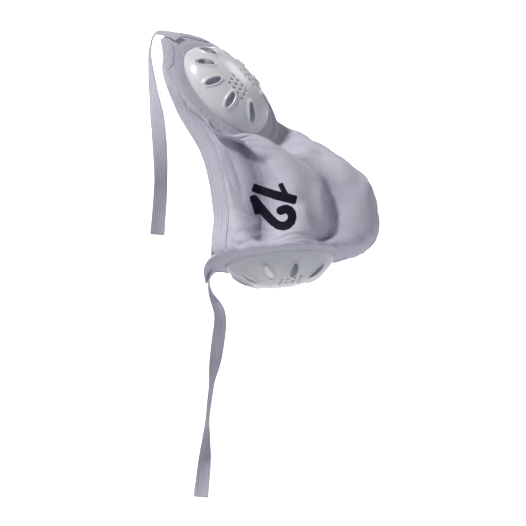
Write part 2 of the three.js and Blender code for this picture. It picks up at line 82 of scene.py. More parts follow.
def smoothStep(x, low, high):
    share = np.clip((x - low) / (high - low), 0, 1)
    return share * share * (3 - 2 * share)


def dot(a, b):
    return (a * b).sum(-1, keepdims=True)


def unit(v):
    return v / np.maximum(np.linalg.norm(v, axis=-1, keepdims=True), 1e-12)


# long points to the crown, short to the forehead and up is the plane's normal
def tiltedFrame(centre, tilt, roll):
    tilt, roll = math.radians(tilt), math.radians(roll)
    lift = np.array([math.sin(tilt), 0, math.cos(tilt)])
    viewer = np.array([0.0, -1.0, 0.0])
    return {
        "centre": np.asarray(centre, float),
        "long": np.array([math.cos(tilt), 0, -math.sin(tilt)]),
        "short": viewer * math.cos(roll) - lift * math.sin(roll),
        "up": lift * math.cos(roll) + viewer * math.sin(roll),
    }


def inFrame(place, x, y, z):
    x, y, z = (np.asarray(v, float)[..., None] for v in (x, y, z))
    return place["centre"] + x * place["long"] + y * place["short"] + z * place["up"]


halfLength = cut["guardLength"] / 2
halfWidth = cut["guardWidth"] / 2
flatCloth = cut["flangeWidth"] + cut["flangeMargin"]


def domeHeight(ring):
    return cut["guardDome"] * np.maximum(0, 1 - np.asarray(ring) ** cut["domeRoundness"]) ** 0.6


hangSlot = -cut["slotRing"] * halfLength
upperFrame = tiltedFrame((0, 0, 0), cut["upperTilt"], cut["upperRoll"])
upperFrame["centre"] = inFrame(upperFrame, -hangSlot, 0, -domeHeight(cut["slotRing"]))
lowerCentre = upperFrame["centre"] + (cut["guardShift"], -cut["guardSetBack"], -cut["guardDrop"])
lowerFrame = tiltedFrame(lowerCentre, cut["lowerTilt"], cut["lowerRoll"])
upperSide = {"frame": upperFrame, "outward": 1, "flapRadius": cut["upperFlapRadius"], "standOff": 0.1}
lowerSide = {"frame": lowerFrame, "outward": -1, "flapRadius": cut["lowerFlapRadius"], "standOff": 0.9}


# lines of a side panel's pattern, each from the guard's hole to the outline
def panelLine(u):
    u = np.asarray(u, float)
    front = np.where(u < 0.5, 1.0, -1.0)
    edge = np.minimum(1, np.minimum(u, 1 - u) / cut["edgeShare"])
    t = np.clip((u - cut["edgeShare"]) / (1 - 2 * cut["edgeShare"]), 0, 1)
    seamAngle = math.radians(cut["mouthAngle"]) * (1 - 2 * t)
    grow = mix(cut["crownMargin"], cut["edgeMargin"], (1 - 2 * t) ** 2)
    corner = front * np.radians(mix(cut["cornerAngle"], cut["mouthAngle"], edge))
    angle = np.where(edge < 1, corner, seamAngle)
    crown = smoothStep(np.cos(seamAngle), 0.5, 1)
    return {
        "edge": edge,
        "bend": mix(1 / cut["seamRadius"], 1 / cut["crownRadius"], crown),
        "holeX": (halfLength + cut["guardClearance"]) * np.cos(angle),
        "holeY": (halfWidth + cut["guardClearance"]) * np.sin(angle),
        "x": mix(-halfLength - cut["flapLength"], (halfLength + grow) * np.cos(seamAngle), edge),
        "y": mix(front * cut["flapWidth"] / 2, (halfWidth + grow) * np.sin(seamAngle), edge),
    }


# the same across the flap's end, w from -1 at its neck corner to 1 at its front corner
def flapLine(w):
    w = np.asarray(w, float)
    angle = np.radians(180 - (180 - cut["cornerAngle"]) * w)
    return {
        "edge": np.zeros_like(w),
        "bend": np.full_like(w, 1 / cut["seamRadius"]),
        "holeX": (halfLength + cut["guardClearance"]) * np.cos(angle),
        "holeY": (halfWidth + cut["guardClearance"]) * np.sin(angle),
        "x": np.full_like(w, -halfLength - cut["flapLength"]),
        "y": w * cut["flapWidth"] / 2,
    }


def lineLength(line):
    return np.hypot(line["x"] - line["holeX"], line["y"] - line["holeY"])


# flat over the guard's flange, then bent on an arc
def panelPoint(side, line, distance):
    bend = mix(1 / side["flapRadius"], line["bend"], smoothStep(line["edge"], 0, 1))
    beyond = np.maximum(0, distance - flatCloth)
    turn = bend * beyond / 2
    chord = beyond * np.sinc(turn / math.pi)
    share = (np.minimum(distance, flatCloth) + chord * np.cos(turn)) / lineLength(line)
    x = mix(line["holeX"], line["x"], share)
    y = mix(line["holeY"], line["y"], share)
    return inFrame(side["frame"], x, y, -side["outward"] * chord * np.sin(turn))


def seamAt(side, t, following):
    def uAt(share):
        return cut["edgeShare"] + (1 - 2 * cut["edgeShare"]) * np.clip(share, 0, 1)

    def onSeam(u):
        line = panelLine(u)
        return panelPoint(side, line, lineLength(line))

    line = panelLine(uAt(t))
    point = onSeam(uAt(t))
    along = unit(onSeam(uAt(t + 0.005)) - onSeam(uAt(t - 0.005)))
    away = point - panelPoint(side, line, lineLength(line) - 0.2)
    away = unit(away - along * dot(away, along))
    level = unit(np.cross(away, along))
    leaving = following - point
    leaving = unit(leaving - level * dot(leaving, level))
    lift = np.maximum(0, cut["leastLeaving"] - dot(leaving, away))
    return point, unit(leaving + away * lift)


def sectionPoint(row, t):
    mouth = np.array([row["mouthX"] * cut["mouthReach"], row["y"] * cut["bagDepth"],
                      -row["mouthZ"] * cut["guardDrop"]])
    crown = np.array([row["crownX"] * cut["crownReach"], row["y"] * cut["bagDepth"],
                      -row["crownZ"] * cut["guardDrop"]])
    span = crown - mouth
    reach = np.linalg.norm(span) / (1 - math.cos(math.radians(cut["mouthAngle"])))
    centre = upperFrame["centre"] + crown - unit(span) * reach
    place = tiltedFrame(centre, math.degrees(math.atan2(-span[2], span[0])), row["roll"])
    way = 1 - 2 * t
    angle = math.radians(cut["mouthAngle"]) * way * (1 + row["spread"] * (1 - way * way))
    depth = row["depth"] * cut["bagDepth"]
    return inFrame(place, reach * np.cos(angle), depth * np.sin(angle), np.zeros_like(angle))


# a cubic from seam to seam through the sections
def smoothCentre(s, t):
    s, t = np.broadcast_arrays(np.asarray(s, float), np.asarray(t, float))
    between = [sectionPoint(row, t) for row in sections]
    upper, upperLeaving = seamAt(upperSide, t, between[0])
    lower, lowerLeaving = seamAt(lowerSide, t, between[-1])
    points = [upper, *between, lower]
    shares = [0, *(row["share"] for row in sections), 1]
    slopes = []
    for i in range(len(points)):
        before, after = max(0, i - 1), min(len(points) - 1, i + 1)
        chord = (points[after] - points[before]) / (shares[after] - shares[before])
        if i == 0:
            chord = upperLeaving * np.linalg.norm(chord, axis=-1, keepdims=True)
        if i == len(points) - 1:
            chord = -lowerLeaving * np.linalg.norm(chord, axis=-1, keepdims=True)
        slopes.append(chord)
    made = points[0].copy()
    for i in range(len(points) - 1):
        span = shares[i + 1] - shares[i]
        u = np.clip((s - shares[i]) / span, 0, 1)[..., None]
        piece = (points[i] * (2 * u**3 - 3 * u**2 + 1) + slopes[i] * (u**3 - 2 * u**2 + u) * span
                 + points[i + 1] * (3 * u**2 - 2 * u**3) + slopes[i + 1] * (u**3 - u**2) * span)
        made = np.where((s > shares[i])[..., None], piece, made)
    return made


def centreNormal(s, t):
    step = 0.004
    alongS = smoothCentre(np.clip(s + step, 0, 1), t) - smoothCentre(np.clip(s - step, 0, 1), t)
    alongT = smoothCentre(s, np.clip(t + step, 0, 1)) - smoothCentre(s, np.clip(t - step, 0, 1))
    return unit(np.cross(alongS, alongT))


foldFit = {
    "seamFade": 0.16, "creaseShare": 0.4, "acrossShare": 0.5,
    "limpFromUpper": (0.12, 0.36), "limpFromLower": (0.02, 0.14),  # shares of the way from each seam
}


def foldHeight(s, t):
    height = np.zeros(np.broadcast(s, t).shape)
    limp = smoothStep(s, *foldFit["limpFromUpper"]) * smoothStep(1 - s, *foldFit["limpFromLower"])
    for s0, t0, s1, t1, width, high, deepening, sharpness in folds:
        ds, dt = s1 - s0, t1 - t0
        along = np.clip(((s - s0) * ds + (t - t0) * dt) / (ds * ds + dt * dt), 0, 1)
        away = np.hypot((s - s0 - along * ds) * foldFit["acrossShare"], t - t0 - along * dt) / width
        drop = mix(min(1, deepening), deepening, limp) * np.exp(-away * away)
        crease = sharpness * limp * np.exp(-(away / foldFit["creaseShare"]) ** 2)
        height += high * cut["bagDepth"] * (drop + crease)
    return height * smoothStep(s, 0, foldFit["seamFade"]) * smoothStep(1 - s, 0, foldFit["seamFade"])


# Creases between the main folds: each row is the middle, the half lengths along s and t,
# the crease's slant, its pitch in millimetres and its height.
creases = {
    "lengthShare": 1.45, "roundShare": 2.4,  # the cloth's lengths, as shares of the drop and of the reach
    "edgeFade": (0.03, 0.1), "seamFade": (0.06, 0.05), "puckerHeight": 0.6, "puckerPitch": 10.5,
    "puckerStart": (3, 8), "puckerEnd": (9, 28),
}
creaseFields = [
    (0.87, 0.21, 0.075, 0.085, 0.25, 8.5, 1.15),
    (0.80, 0.12, 0.10, 0.06, -0.5, 11.0, 0.8),
    (0.22, 0.30, 0.16, 0.10, 2.6, 13.0, 0.9),
    (0.30, 0.55, 0.22, 0.12, 1.9, 17.0, 1.0),
    (0.62, 0.62, 0.20, 0.10, 1.4, 15.0, 0.9),
    (0.55, 0.80, 0.30, 0.10, 2.2, 14.0, 1.0),
    (0.88, 0.70, 0.08, 0.22, 0.3, 10.0, 0.8),
    (0.12, 0.75, 0.09, 0.18, 0.5, 11.0, 0.9),
    (0.45, 0.22, 0.25, 0.06, 1.1, 19.0, 0.6),
    (0.35, 0.44, 0.26, 0.07, 0.9, 23.0, 1.3),
    (0.72, 0.47, 0.20, 0.08, 2.3, 21.0, 1.2),
    (0.90, 0.45, 0.07, 0.16, 0.2, 9.0, 0.8),
]


def creaseHeight(s, t):
    s, t = np.broadcast_arrays(s, t)
    height = np.zeros(s.shape)
    acrossCap = cut["guardDrop"] * creases["lengthShare"]
    aroundCap = cut["crownReach"] * creases["roundShare"]
    for s0, t0, sHalf, tHalf, slant, pitch, high in creaseFields:
        window = np.exp(-(((s - s0) / sHalf) ** 2 + ((t - t0) / tHalf) ** 2))
        x, y = (s - s0) * acrossCap, (t - t0) * aroundCap
        wander = 2.2 * np.sin(y / 13 + 7 * s0) + 1.5 * np.sin(x / 9 + 5 * t0)
        way = (x * math.cos(slant) + y * math.sin(slant) + wander) / pitch
        height += high * window * np.sin(2 * math.pi * way)
    upperFade, lowerFade = creases["seamFade"]
    height = height * smoothStep(s, 0, upperFade) * smoothStep(1 - s, 0, lowerFade)
    fromSeam = np.minimum(s, 1 - s) * acrossCap
    ripple = np.sin(2 * math.pi * t * aroundCap / creases["puckerPitch"] + 2.3 * np.sin(37 * t) + 5 * s)
    nearSeam = smoothStep(fromSeam, *creases["puckerStart"])
    nearSeam = nearSeam * (1 - smoothStep(fromSeam, *creases["puckerEnd"]))
    height = height + creases["puckerHeight"] * ripple * nearSeam
    return height * smoothStep(t, *creases["edgeFade"]) * smoothStep(1 - t, *creases["edgeFade"])


def centrePoint(s, t):
    height = foldHeight(s, t) + creaseHeight(s, t)
    return smoothCentre(s, t) + centreNormal(s, t) * height[..., None]


# Meshes of cloth: a sheet of points becomes a closed double layer.
def gridNormals(points, wrap=False):
    if wrap:
        down = np.roll(points, -1, 0) - np.roll(points, 1, 0)
    else:
        down = np.gradient(points, axis=0)
    across = np.gradient(points, axis=1)
    return unit(np.cross(down, across))


def makeObject(name, verts, faces, uv=None):
    mesh = bpy.data.meshes.new(name)
    mesh.from_pydata([tuple(v) for v in np.asarray(verts) * 0.001], [], faces)
    obj = bpy.data.objects.new(name, mesh)
    bpy.context.scene.collection.objects.link(obj)
    if uv is not None:
        layer = mesh.uv_layers.new(name="clothMm")
        layer.data.foreach_set("uv", np.array(uv, float).reshape(-1))
    mesh.polygons.foreach_set("use_smooth", [True] * len(mesh.polygons))
    mesh.update()
    return obj


def facingOut(obj):
    edit = bmesh.new()
    edit.from_mesh(obj.data)
    bmesh.ops.recalc_face_normals(edit, faces=edit.faces)
    edit.to_mesh(obj.data)
    edit.free()
    return obj


def withModifiersApplied(obj):
    graph = bpy.context.evaluated_depsgraph_get()
    fresh = bpy.data.meshes.new_from_object(obj.evaluated_get(graph), depsgraph=graph)
    obj.modifiers.clear()
    obj.data = fresh
    return obj


def smoothed(obj):
    finer = obj.modifiers.new("finer", "SUBSURF")
    finer.levels = finer.render_levels = 1
    return withModifiersApplied(obj)


def setPointValues(obj, name, values):
    layer = obj.data.attributes.new(name, "FLOAT", "POINT")
    layer.data.foreach_set("value", np.asarray(values, np.float32))


# the two layers and their rims; u and v are millimetres along the cloth
def doubleLayer(name, points, normals, thickness, u, v, wrap=False, values=None):
    rows, columns = points.shape[:2]
    count = rows * columns
    verts = np.concatenate([
        (points + normals * thickness / 2).reshape(-1, 3),
        (points - normals * thickness / 2).reshape(-1, 3),
    ])
    faces, uv = [], []

    def put(corners):
        faces.append([i % rows * columns + j + (0 if outer else count) for i, j, outer in corners])
        uv.extend((u[i, j], v[i, j]) for i, j, _ in corners)

    last = rows if wrap else rows - 1
    for i in range(last):
        for j in range(columns - 1):
            put([(i, j, True), (i + 1, j, True), (i + 1, j + 1, True), (i, j + 1, True)])
            put([(i, j, False), (i, j + 1, False), (i + 1, j + 1, False), (i + 1, j, False)])
        for j in (0, columns - 1):
            rim = [(i, j, True), (i, j, False), (i + 1, j, False), (i + 1, j, True)]
            put(rim if j == 0 else rim[::-1])
    if not wrap:
        for j in range(columns - 1):
            for i in (0, rows - 1):
                rim = [(i, j, True), (i, j + 1, True), (i, j + 1, False), (i, j, False)]
                put(rim if i == 0 else rim[::-1])
    obj = makeObject(name, verts, faces, uv)
    setPointValues(obj, "outer", [1.0] * count + [0.0] * count)
    for key, value in (values or {}).items():
        setPointValues(obj, key, np.concatenate([value.reshape(-1), value.reshape(-1)]))
    return facingOut(obj)


def lengthsAlong(points, axis):
    steps = np.linalg.norm(np.diff(points, axis=axis), axis=-1)
    shape = list(steps.shape)
    shape[axis] = 1
    return np.concatenate([np.zeros(shape), np.cumsum(steps, axis=axis)], axis=axis)


# The centre panel: one piece of knit from seam to seam, over the crown.
centre = {
    "rows": 84, "columns": 112, "bindingColumns": 10, "thickness": 1.0, "seamInset": 0.0012,
    "extraCloth": 0.05, "frames": 36, "most": 1.7,  # most is how far the simulation may move a point
}


def freeEdge(fromNeck):
    parts = []
    for side in (upperSide, lowerSide):
        line = panelLine(np.linspace(1, 1 - cut["edgeShare"], 16) if fromNeck
                         else np.linspace(0, cut["edgeShare"], 16))
        parts.append(panelPoint(side, line, lineLength(line)))
    s = np.linspace(0, 1, 70)
    parts.append(centrePoint(s, np.full_like(s, 1.0 if fromNeck else 0.0)))
    return np.concatenate(parts)


def centreShares():
    s = np.linspace(centre["seamInset"], 1 - centre["seamInset"], centre["rows"])
    samples = np.linspace(0, 1, 260)
    points = centrePoint(s[:, None], samples[None, :])
    limits = []
    for edge in (freeEdge(False), freeEdge(True)):
        away = np.full(points.shape[:2], 1e9)
        for spot in edge:
            away = np.minimum(away, np.linalg.norm(points - spot, axis=-1))
        limits.append(away)
    rows = []
    inner = np.linspace(0, 1, centre["columns"] + 1)
    band = np.linspace(0, 1, centre["bindingColumns"] + 1)
    for i in range(len(s)):
        front = samples[np.argmax(limits[0][i] >= cut["bindingWidth"])]
        neck = samples[len(samples) - 1 - np.argmax(limits[1][i][::-1] >= cut["bindingWidth"])]
        rows.append(np.concatenate([band[:-1] * front, mix(front, neck, inner),
                                    mix(neck, 1, band[1:])]))
    t = np.array(rows)
    for _ in range(6):  # neighbouring rows agree on where the binding's edge lies
        t[1:-1] = (t[:-2] + 2 * t[1:-1] + t[2:]) / 4
    return s, t


# Sharp creases, each from x and z to x and z, then its half width and height.
frontCreases = [
    (5, -64, 26, -71, 4.6, 4.4), (26, -71, 60, -101, 5.4, 5.6), (60, -101, 88, -142, 5.4, 5.0),
    (88, -142, 99, -174, 5.0, 3.6),
    (4, -71, 25, -82, 4.4, -3.4), (25, -82, 51, -110, 4.6, -4.0),
    (26, -168, 50, -159, 2.8, 3.8), (27, -177, 50, -170, 2.6, 3.6), (31, -187, 51, -183, 2.4, 2.8),
    (26, -173, 49, -165, 2.4, -3.0), (28, -182, 50, -177, 2.4, -2.8),
    (12, -94, 27, -150, 3.8, 3.4), (19, -92, 35, -142, 3.6, -3.4), (4, -84, 12, -104, 3.0, 2.4),
    (62, -184, 104, -177, 3.4, 2.6), (58, -178, 100, -171, 3.2, -2.4),
    (102, -126, 112, -164, 4.8, 3.4), (110, -122, 122, -158, 4.4, -3.4),
]
backCreases = [
    (14, -60, 50, -98, 5.0, 4.0), (50, -98, 72, -156, 5.4, 4.4), (22, -58, 56, -94, 4.8, -3.4),
    (58, -66, 104, -108, 5.4, 4.2), (104, -108, 122, -150, 5.4, 3.6), (68, -62, 112, -102, 5.0, -3.4),
    (38, -178, 94, -168, 4.0, 3.4), (34, -170, 84, -160, 3.8, -2.8),
    (20, -108, 32, -160, 4.2, 3.4), (29, -104, 43, -152, 4.0, -3.2), (84, -120, 100, -168, 5.0, -3.0),
]
creaseLine = {"bow": 2.5, "edge": 0.5, "start": (-0.12, 0.22), "end": (-0.12, 0.3)}


def creaseLineHeight(points, lines):
    height = np.zeros(points.shape[:2])
    x, z = points[..., 0], points[..., 2]
    for x0, z0, x1, z1, width, high in lines:
        dx, dz = x1 - x0, z1 - z0
        share = ((x - x0) * dx + (z - z0) * dz) / (dx * dx + dz * dz)
        bow = creaseLine["bow"] * np.sin(np.clip(share, 0, 1) * math.pi) * math.copysign(1, high)
        off = ((x - x0) * dz - (z - z0) * dx) / math.hypot(dx, dz) - bow
        ends = smoothStep(share, *creaseLine["start"]) * smoothStep(1 - share, *creaseLine["end"])
        # a crease comes to an edge, rounded by the knit's thickness
        crest = np.hypot(off, creaseLine["edge"]) - creaseLine["edge"]
        height += high * ends * np.exp(-crest / width)
    return height


centreS, centreT = centreShares()
flatPoints = centrePoint(centreS[:, None], centreT)
flatNormals = gridNormals(flatPoints)
unbound = np.zeros(centreT.shape)
unbound[2:-2, centre["bindingColumns"] + 1:-centre["bindingColumns"] - 1] = 1
sharpFolds = 0
for sign, lines in ((-1, frontCreases), (1, backCreases)):
    facing = smoothStep(sign * flatNormals[..., 1], 0.1, 0.5) * smoothStep(sign * flatPoints[..., 1], -5, 10)
    sharpFolds = sharpFolds + creaseLineHeight(flatPoints, lines) * facing
flatPoints = flatPoints + flatNormals * (sharpFolds * unbound)[..., None]
print("cap: centre panel laid out,", flatPoints.shape[0], "rows of", flatPoints.shape[1])


# The knit settles between the seams and the bindings, which hold it.
def settled(points):
    rows, columns = points.shape[:2]
    grow = 0.01  # simulated ten times as large, because small cloth sets too stiff
    faces = [[i * columns + j, (i + 1) * columns + j, (i + 1) * columns + j + 1, i * columns + j + 1]
             for i in range(rows - 1) for j in range(columns - 1)]
    mesh = bpy.data.meshes.new("knit")
    mesh.from_pydata([tuple(p) for p in points.reshape(-1, 3) * grow], [], faces)
    obj = bpy.data.objects.new("knit", mesh)
    bpy.context.scene.collection.objects.link(obj)
    held = obj.vertex_groups.new(name="sewn")
    band = centre["bindingColumns"]
    for i in range(rows):
        for j in range(columns):
            if i in (0, rows - 1) or j <= band or j >= columns - 1 - band:
                held.add([i * columns + j], 1.0, "REPLACE")
    cloth = obj.modifiers.new("cloth", "CLOTH")
    knit = cloth.settings
    knit.quality = 6
    knit.mass = 0.12
    knit.tension_stiffness = knit.compression_stiffness = 12
    knit.shear_stiffness = 4
    knit.bending_stiffness = 0.35
    knit.air_damping = 2.5
    knit.vertex_group_mass = "sewn"
    knit.shrink_min = -centre["extraCloth"]
    cloth.collision_settings.use_self_collision = False
    cloth.point_cache.frame_start = 1
    cloth.point_cache.frame_end = centre["frames"]
    scene = bpy.context.scene
    for step in range(1, centre["frames"] + 1):
        scene.frame_set(step)
    graph = bpy.context.evaluated_depsgraph_get()
    moved = obj.evaluated_get(graph).to_mesh()
    found = np.empty(rows * columns * 3, np.float32)
    moved.vertices.foreach_get("co", found)
    obj.evaluated_get(graph).to_mesh_clear()
    scene.frame_set(1)
    bpy.data.objects.remove(obj)
    change = np.nan_to_num(found.reshape(points.shape) / grow - points)
    size = np.maximum(np.linalg.norm(change, axis=-1, keepdims=True), 1e-9)
    return points + change * centre["most"] * np.tanh(size / centre["most"]) / size


centrePoints = settled(flatPoints)
centreNormals = gridNormals(centrePoints)
moved = np.linalg.norm(centrePoints - flatPoints, axis=-1)
print("cap: knit settled, moved %.1f mm at most and %.1f mm on average" % (moved.max(), moved.mean()))

# The printed number: its middle in x and z, and strokes in millimetres from there.
number = {
    "middle": (61, -147), "depthLimit": 8,
    "bars": [((-19.6, 18.8), (1.2, 11.2), 3.9), ((0.2, 11.4), (20.6, 6.0), 4.1),
             ((12.2, 8.2), (5.6, 21.6), 2.4), ((-19.6, 11.2), (-14.4, -6.2), 3.1),
             ((6.6, -1.2), (6.4, -6.2), 3.1)],
    "curve": [(6.2, -3.2), (8.6, -2.2), (11.3, -1.7), (14.2, -2.9), (16.2, -5.8), (16.6, -9.6),
              (15.4, -13.4), (12.6, -16.2), (8.6, -17.5), (4.2, -16.6), (0.4, -14), (-3, -10.8),
              (-6.2, -7.2), (-9.2, -3.6), (-12, 0), (-15, 3.6), (-18.2, 7.6)],
    "curveHalf": 4.0, "farAway": 6,
}


def barDistance(p, start, end, half):
    start, end = np.array(start, float), np.array(end, float)
    middle, way = (start + end) / 2, end - start
    long = np.linalg.norm(way) / 2
    way = way / (2 * long)
    along = np.abs((p - middle) @ way) - long
    side = np.abs((p - middle) @ np.array([-way[1], way[0]])) - half
    outside = np.hypot(np.maximum(along, 0), np.maximum(side, 0))
    return outside + np.minimum(np.maximum(along, side), 0)


def strokeDistance(p, start, end, half):
    start, end = np.array(start, float), np.array(end, float)
    way = end - start
    along = np.clip(((p - start) @ way) / (way @ way), 0, 1)
    return np.linalg.norm(p - start - along[:, None] * way, axis=-1) - half


def inkDistance(points):
    p = points[:, [0, 2]] - np.array(number["middle"], float)
    found = np.full(len(points), np.inf)
    for start, end, half in number["bars"]:
        found = np.minimum(found, barDistance(p, start, end, half))
    curve = number["curve"]
    for start, end in zip(curve, curve[1:]):
        found = np.minimum(found, strokeDistance(p, start, end, number["curveHalf"]))
    seen = points[:, 1] < number["depthLimit"]
    return np.where(seen, np.minimum(found, number["farAway"]), number["farAway"])


def readPoints(obj):
    found = np.empty(len(obj.data.vertices) * 3, np.float32)
    obj.data.vertices.foreach_get("co", found)
    return found.reshape(-1, 3) * 1000


alongCentre = lengthsAlong(centrePoints, 1)
alongCentre = alongCentre - alongCentre[:, [alongCentre.shape[1] // 2]]
downCentre = lengthsAlong(centrePoints, 0)
# hollow holds each point's fold depth, by which the material paints shade into the folds
centrePanel = doubleLayer(
    "centre_panel_knit", centrePoints, centreNormals, centre["thickness"], alongCentre, downCentre,
    values={"hollow": np.maximum(0, -foldHeight(centreS[:, None], centreT))},
)
smoothed(centrePanel)
setPointValues(centrePanel, "ink", inkDistance(readPoints(centrePanel)))
print("cap: centre panel made")

# The side panels: knit sewn flat round each guard, drawn out to a flap under the jaw.
sidePanel = {
    "thickness": 1.0, "steps": 25, "edgeLines": 14, "flapLines": 9,
    "hem": 6.4, "hemRise": 0.45, "groove": 0.28, "grooveHalf": 0.8,
    "pucker": 0.32, "puckerPitch": 8.0, "puckerStart": (0.35, 0.7), "puckerEnd": (0.05, 0.3),
}
guardRows = (1.9, 5.2)  # how far the two rows of stitching lie from the guard's hole


def sideLines(side, seamT):
    share = cut["edgeShare"]
    u = np.concatenate([
        np.linspace(0, share, sidePanel["edgeLines"])[:-1],
        share + (1 - 2 * share) * seamT,
        np.linspace(1 - share, 1, sidePanel["edgeLines"])[1:],
    ])
    lines = [panelLine(u), flapLine(np.linspace(-1, 1, sidePanel["flapLines"] + 2)[1:-1])]
    return {key: np.concatenate([line[key] for line in lines]) for key in lines[0]}


# the turned hem at the guard's hole, drawn down along its stitches
def sideRelief(distance):
    rise = sidePanel["hemRise"] * (1 - smoothStep(distance, sidePanel["hem"] - 0.5, sidePanel["hem"] + 0.5))
    for row in guardRows:
        rise = rise - sidePanel["groove"] * np.exp(-((distance - row) / sidePanel["grooveHalf"]) ** 2)
    return rise


def sidePanelPiece(name, side, seamT):
    lines = sideLines(side, seamT)
    stacked = {key: value[:, None] for key, value in lines.items()}
    length = lineLength(stacked)
    trim = np.where(stacked["edge"] >= 1, cut["seamGap"], 0)
    distance = np.linspace(0, 1, sidePanel["steps"])[None, :] * (length - trim)
    points = panelPoint(side, stacked, distance)
    normals = gridNormals(points, wrap=True)
    normals = normals * np.sign(dot(normals, side["frame"]["up"]).mean()) * side["outward"]
    across = lengthsAlong(points, 1)
    rim = np.concatenate([points[:, -1], points[:1, -1]])
    down = lengthsAlong(rim[:, None, :], 0)[:, 0]
    share = distance / length
    run = down[:-1, None]
    puckers = np.sin(2 * math.pi * run / sidePanel["puckerPitch"] + 2 * np.sin(run / 21))
    puckers = (puckers * sidePanel["pucker"] * smoothStep(share, *sidePanel["puckerStart"])
               * smoothStep(1 - share, *sidePanel["puckerEnd"]))
    points = points + normals * (puckers + sideRelief(distance))[..., None]
    fromHole = np.concatenate([across, across[:1]])
    roundHole = np.repeat(down[:, None], points.shape[1], 1)
    piece = doubleLayer(name, points, normals, sidePanel["thickness"], roundHole, fromHole, wrap=True,
                        values={"hollow": np.zeros(points.shape[:2])})
    return smoothed(piece)


upperPanel = sidePanelPiece("upper_side_panel_knit", upperSide, centreT[0])
lowerPanel = sidePanelPiece("lower_side_panel_knit", lowerSide, centreT[-1])
print("cap: side panels made")


# A point of a side panel from its flat pattern, x along the guard and y towards the forehead.
patternLines = panelLine(np.linspace(0, 1, 1601))
patternFlap = flapLine(np.linspace(-1, 1, 121))
pattern = {key: np.concatenate([patternLines[key], patternFlap[key]]) for key in patternLines}


def patternPoint(side, x, y):
    x, y = np.atleast_1d(x), np.atleast_1d(y)
    length = lineLength(pattern)
    wayX = (pattern["x"] - pattern["holeX"]) / length
    wayY = (pattern["y"] - pattern["holeY"]) / length
    awayX, awayY = x[:, None] - pattern["holeX"], y[:, None] - pattern["holeY"]
    along = awayX * wayX + awayY * wayY
    off = np.abs(awayX * wayY - awayY * wayX) + np.maximum(0, -along) + np.maximum(0, along - length)
    best = off.argmin(1)
    line = {key: value[best] for key, value in pattern.items()}
    distance = np.clip(along[np.arange(len(x)), best], 0, length[best])
    return panelPoint(side, line, distance)


def patternNormal(side, x, y):
    step = 0.3
    alongX = patternPoint(side, x + step, y) - patternPoint(side, x - step, y)
    alongY = patternPoint(side, x, y + step) - patternPoint(side, x, y - step)
    normal = unit(np.cross(alongX, alongY))
    return normal * np.sign(dot(normal, side["frame"]["up"])) * side["outward"]


# Woven tape folded over each free edge: a leaf outside, a leaf inside, and stitching through both.
binding = {
    "leafRise": 0.52, "thickness": 0.8, "wrap": 1.25, "edgeRound": 0.25, "stations": 24,
    "groove": 0.34, "grooveHalf": 0.8, "grooves": [0.13, 0.37, 0.63, 0.87],
    "puckerPitch": 7.0, "pucker": 0.22,
    "flapLeaf": 9.0, "leastLeaf": 2, "keepOff": 9.0, "panelLines": 23, "fanLines": 11,
}


def bindingStations(side, fromNeck):
    front = -1 if fromNeck else 1
    steps = np.linspace(0, 1, centre["bindingColumns"] + 1)
    start = np.array([-halfLength - cut["flapLength"], front * cut["flapWidth"] / 2])
    corner = panelLine(np.array([1 - cut["edgeShare"] if fromNeck else cut["edgeShare"]]))
    end = np.array([corner["x"][0], corner["y"][0]])
    way = (end - start) / np.linalg.norm(end - start)
    inward = np.array([way[1], -way[0]]) * front
    jawEnd = np.radians(np.linspace(100, 260, 200))
    rim = np.stack([halfLength * np.cos(jawEnd), halfWidth * np.sin(jawEnd)], -1)

    def leafLimit(base, direction, reach):
        for limit in np.linspace(reach, binding["leastLeaf"], 60):
            tip = base + direction * limit
            if tip[1] * front > 0.4 and np.linalg.norm(rim - tip, axis=1).min() > binding["keepOff"]:
                break
        return limit

    lines = [(mix(start, end, share), inward, binding["flapLeaf"])
             for share in np.linspace(0, 1, binding["panelLines"])]
    for share in np.linspace(0, 1, binding["fanLines"] + 2)[1:-1]:
        turn = share * math.pi / 2  # at the corner the seam runs on in line with the flap's edge
        reach = mix(binding["flapLeaf"], cut["bindingWidth"], share * share)
        lines.append((end, inward * math.cos(turn) + way * math.sin(turn), reach))
    limits = np.array([leafLimit(*line) for line in lines])
    eased = limits.copy()
    for _ in range(16):  # the leaf narrows gently where the guard's hem leaves it less room
        eased[1:-1] = (eased[:-2] + 2 * eased[1:-1] + eased[2:]) / 4
        eased = np.minimum(eased, limits)
    made = []
    for (base, direction, _), limit in zip(lines, eased):
        spots = base + direction * (steps * limit)[:, None]
        x, y = spots.T
        made.append((patternPoint(side, x, y), patternNormal(side, x, y)))
    return made


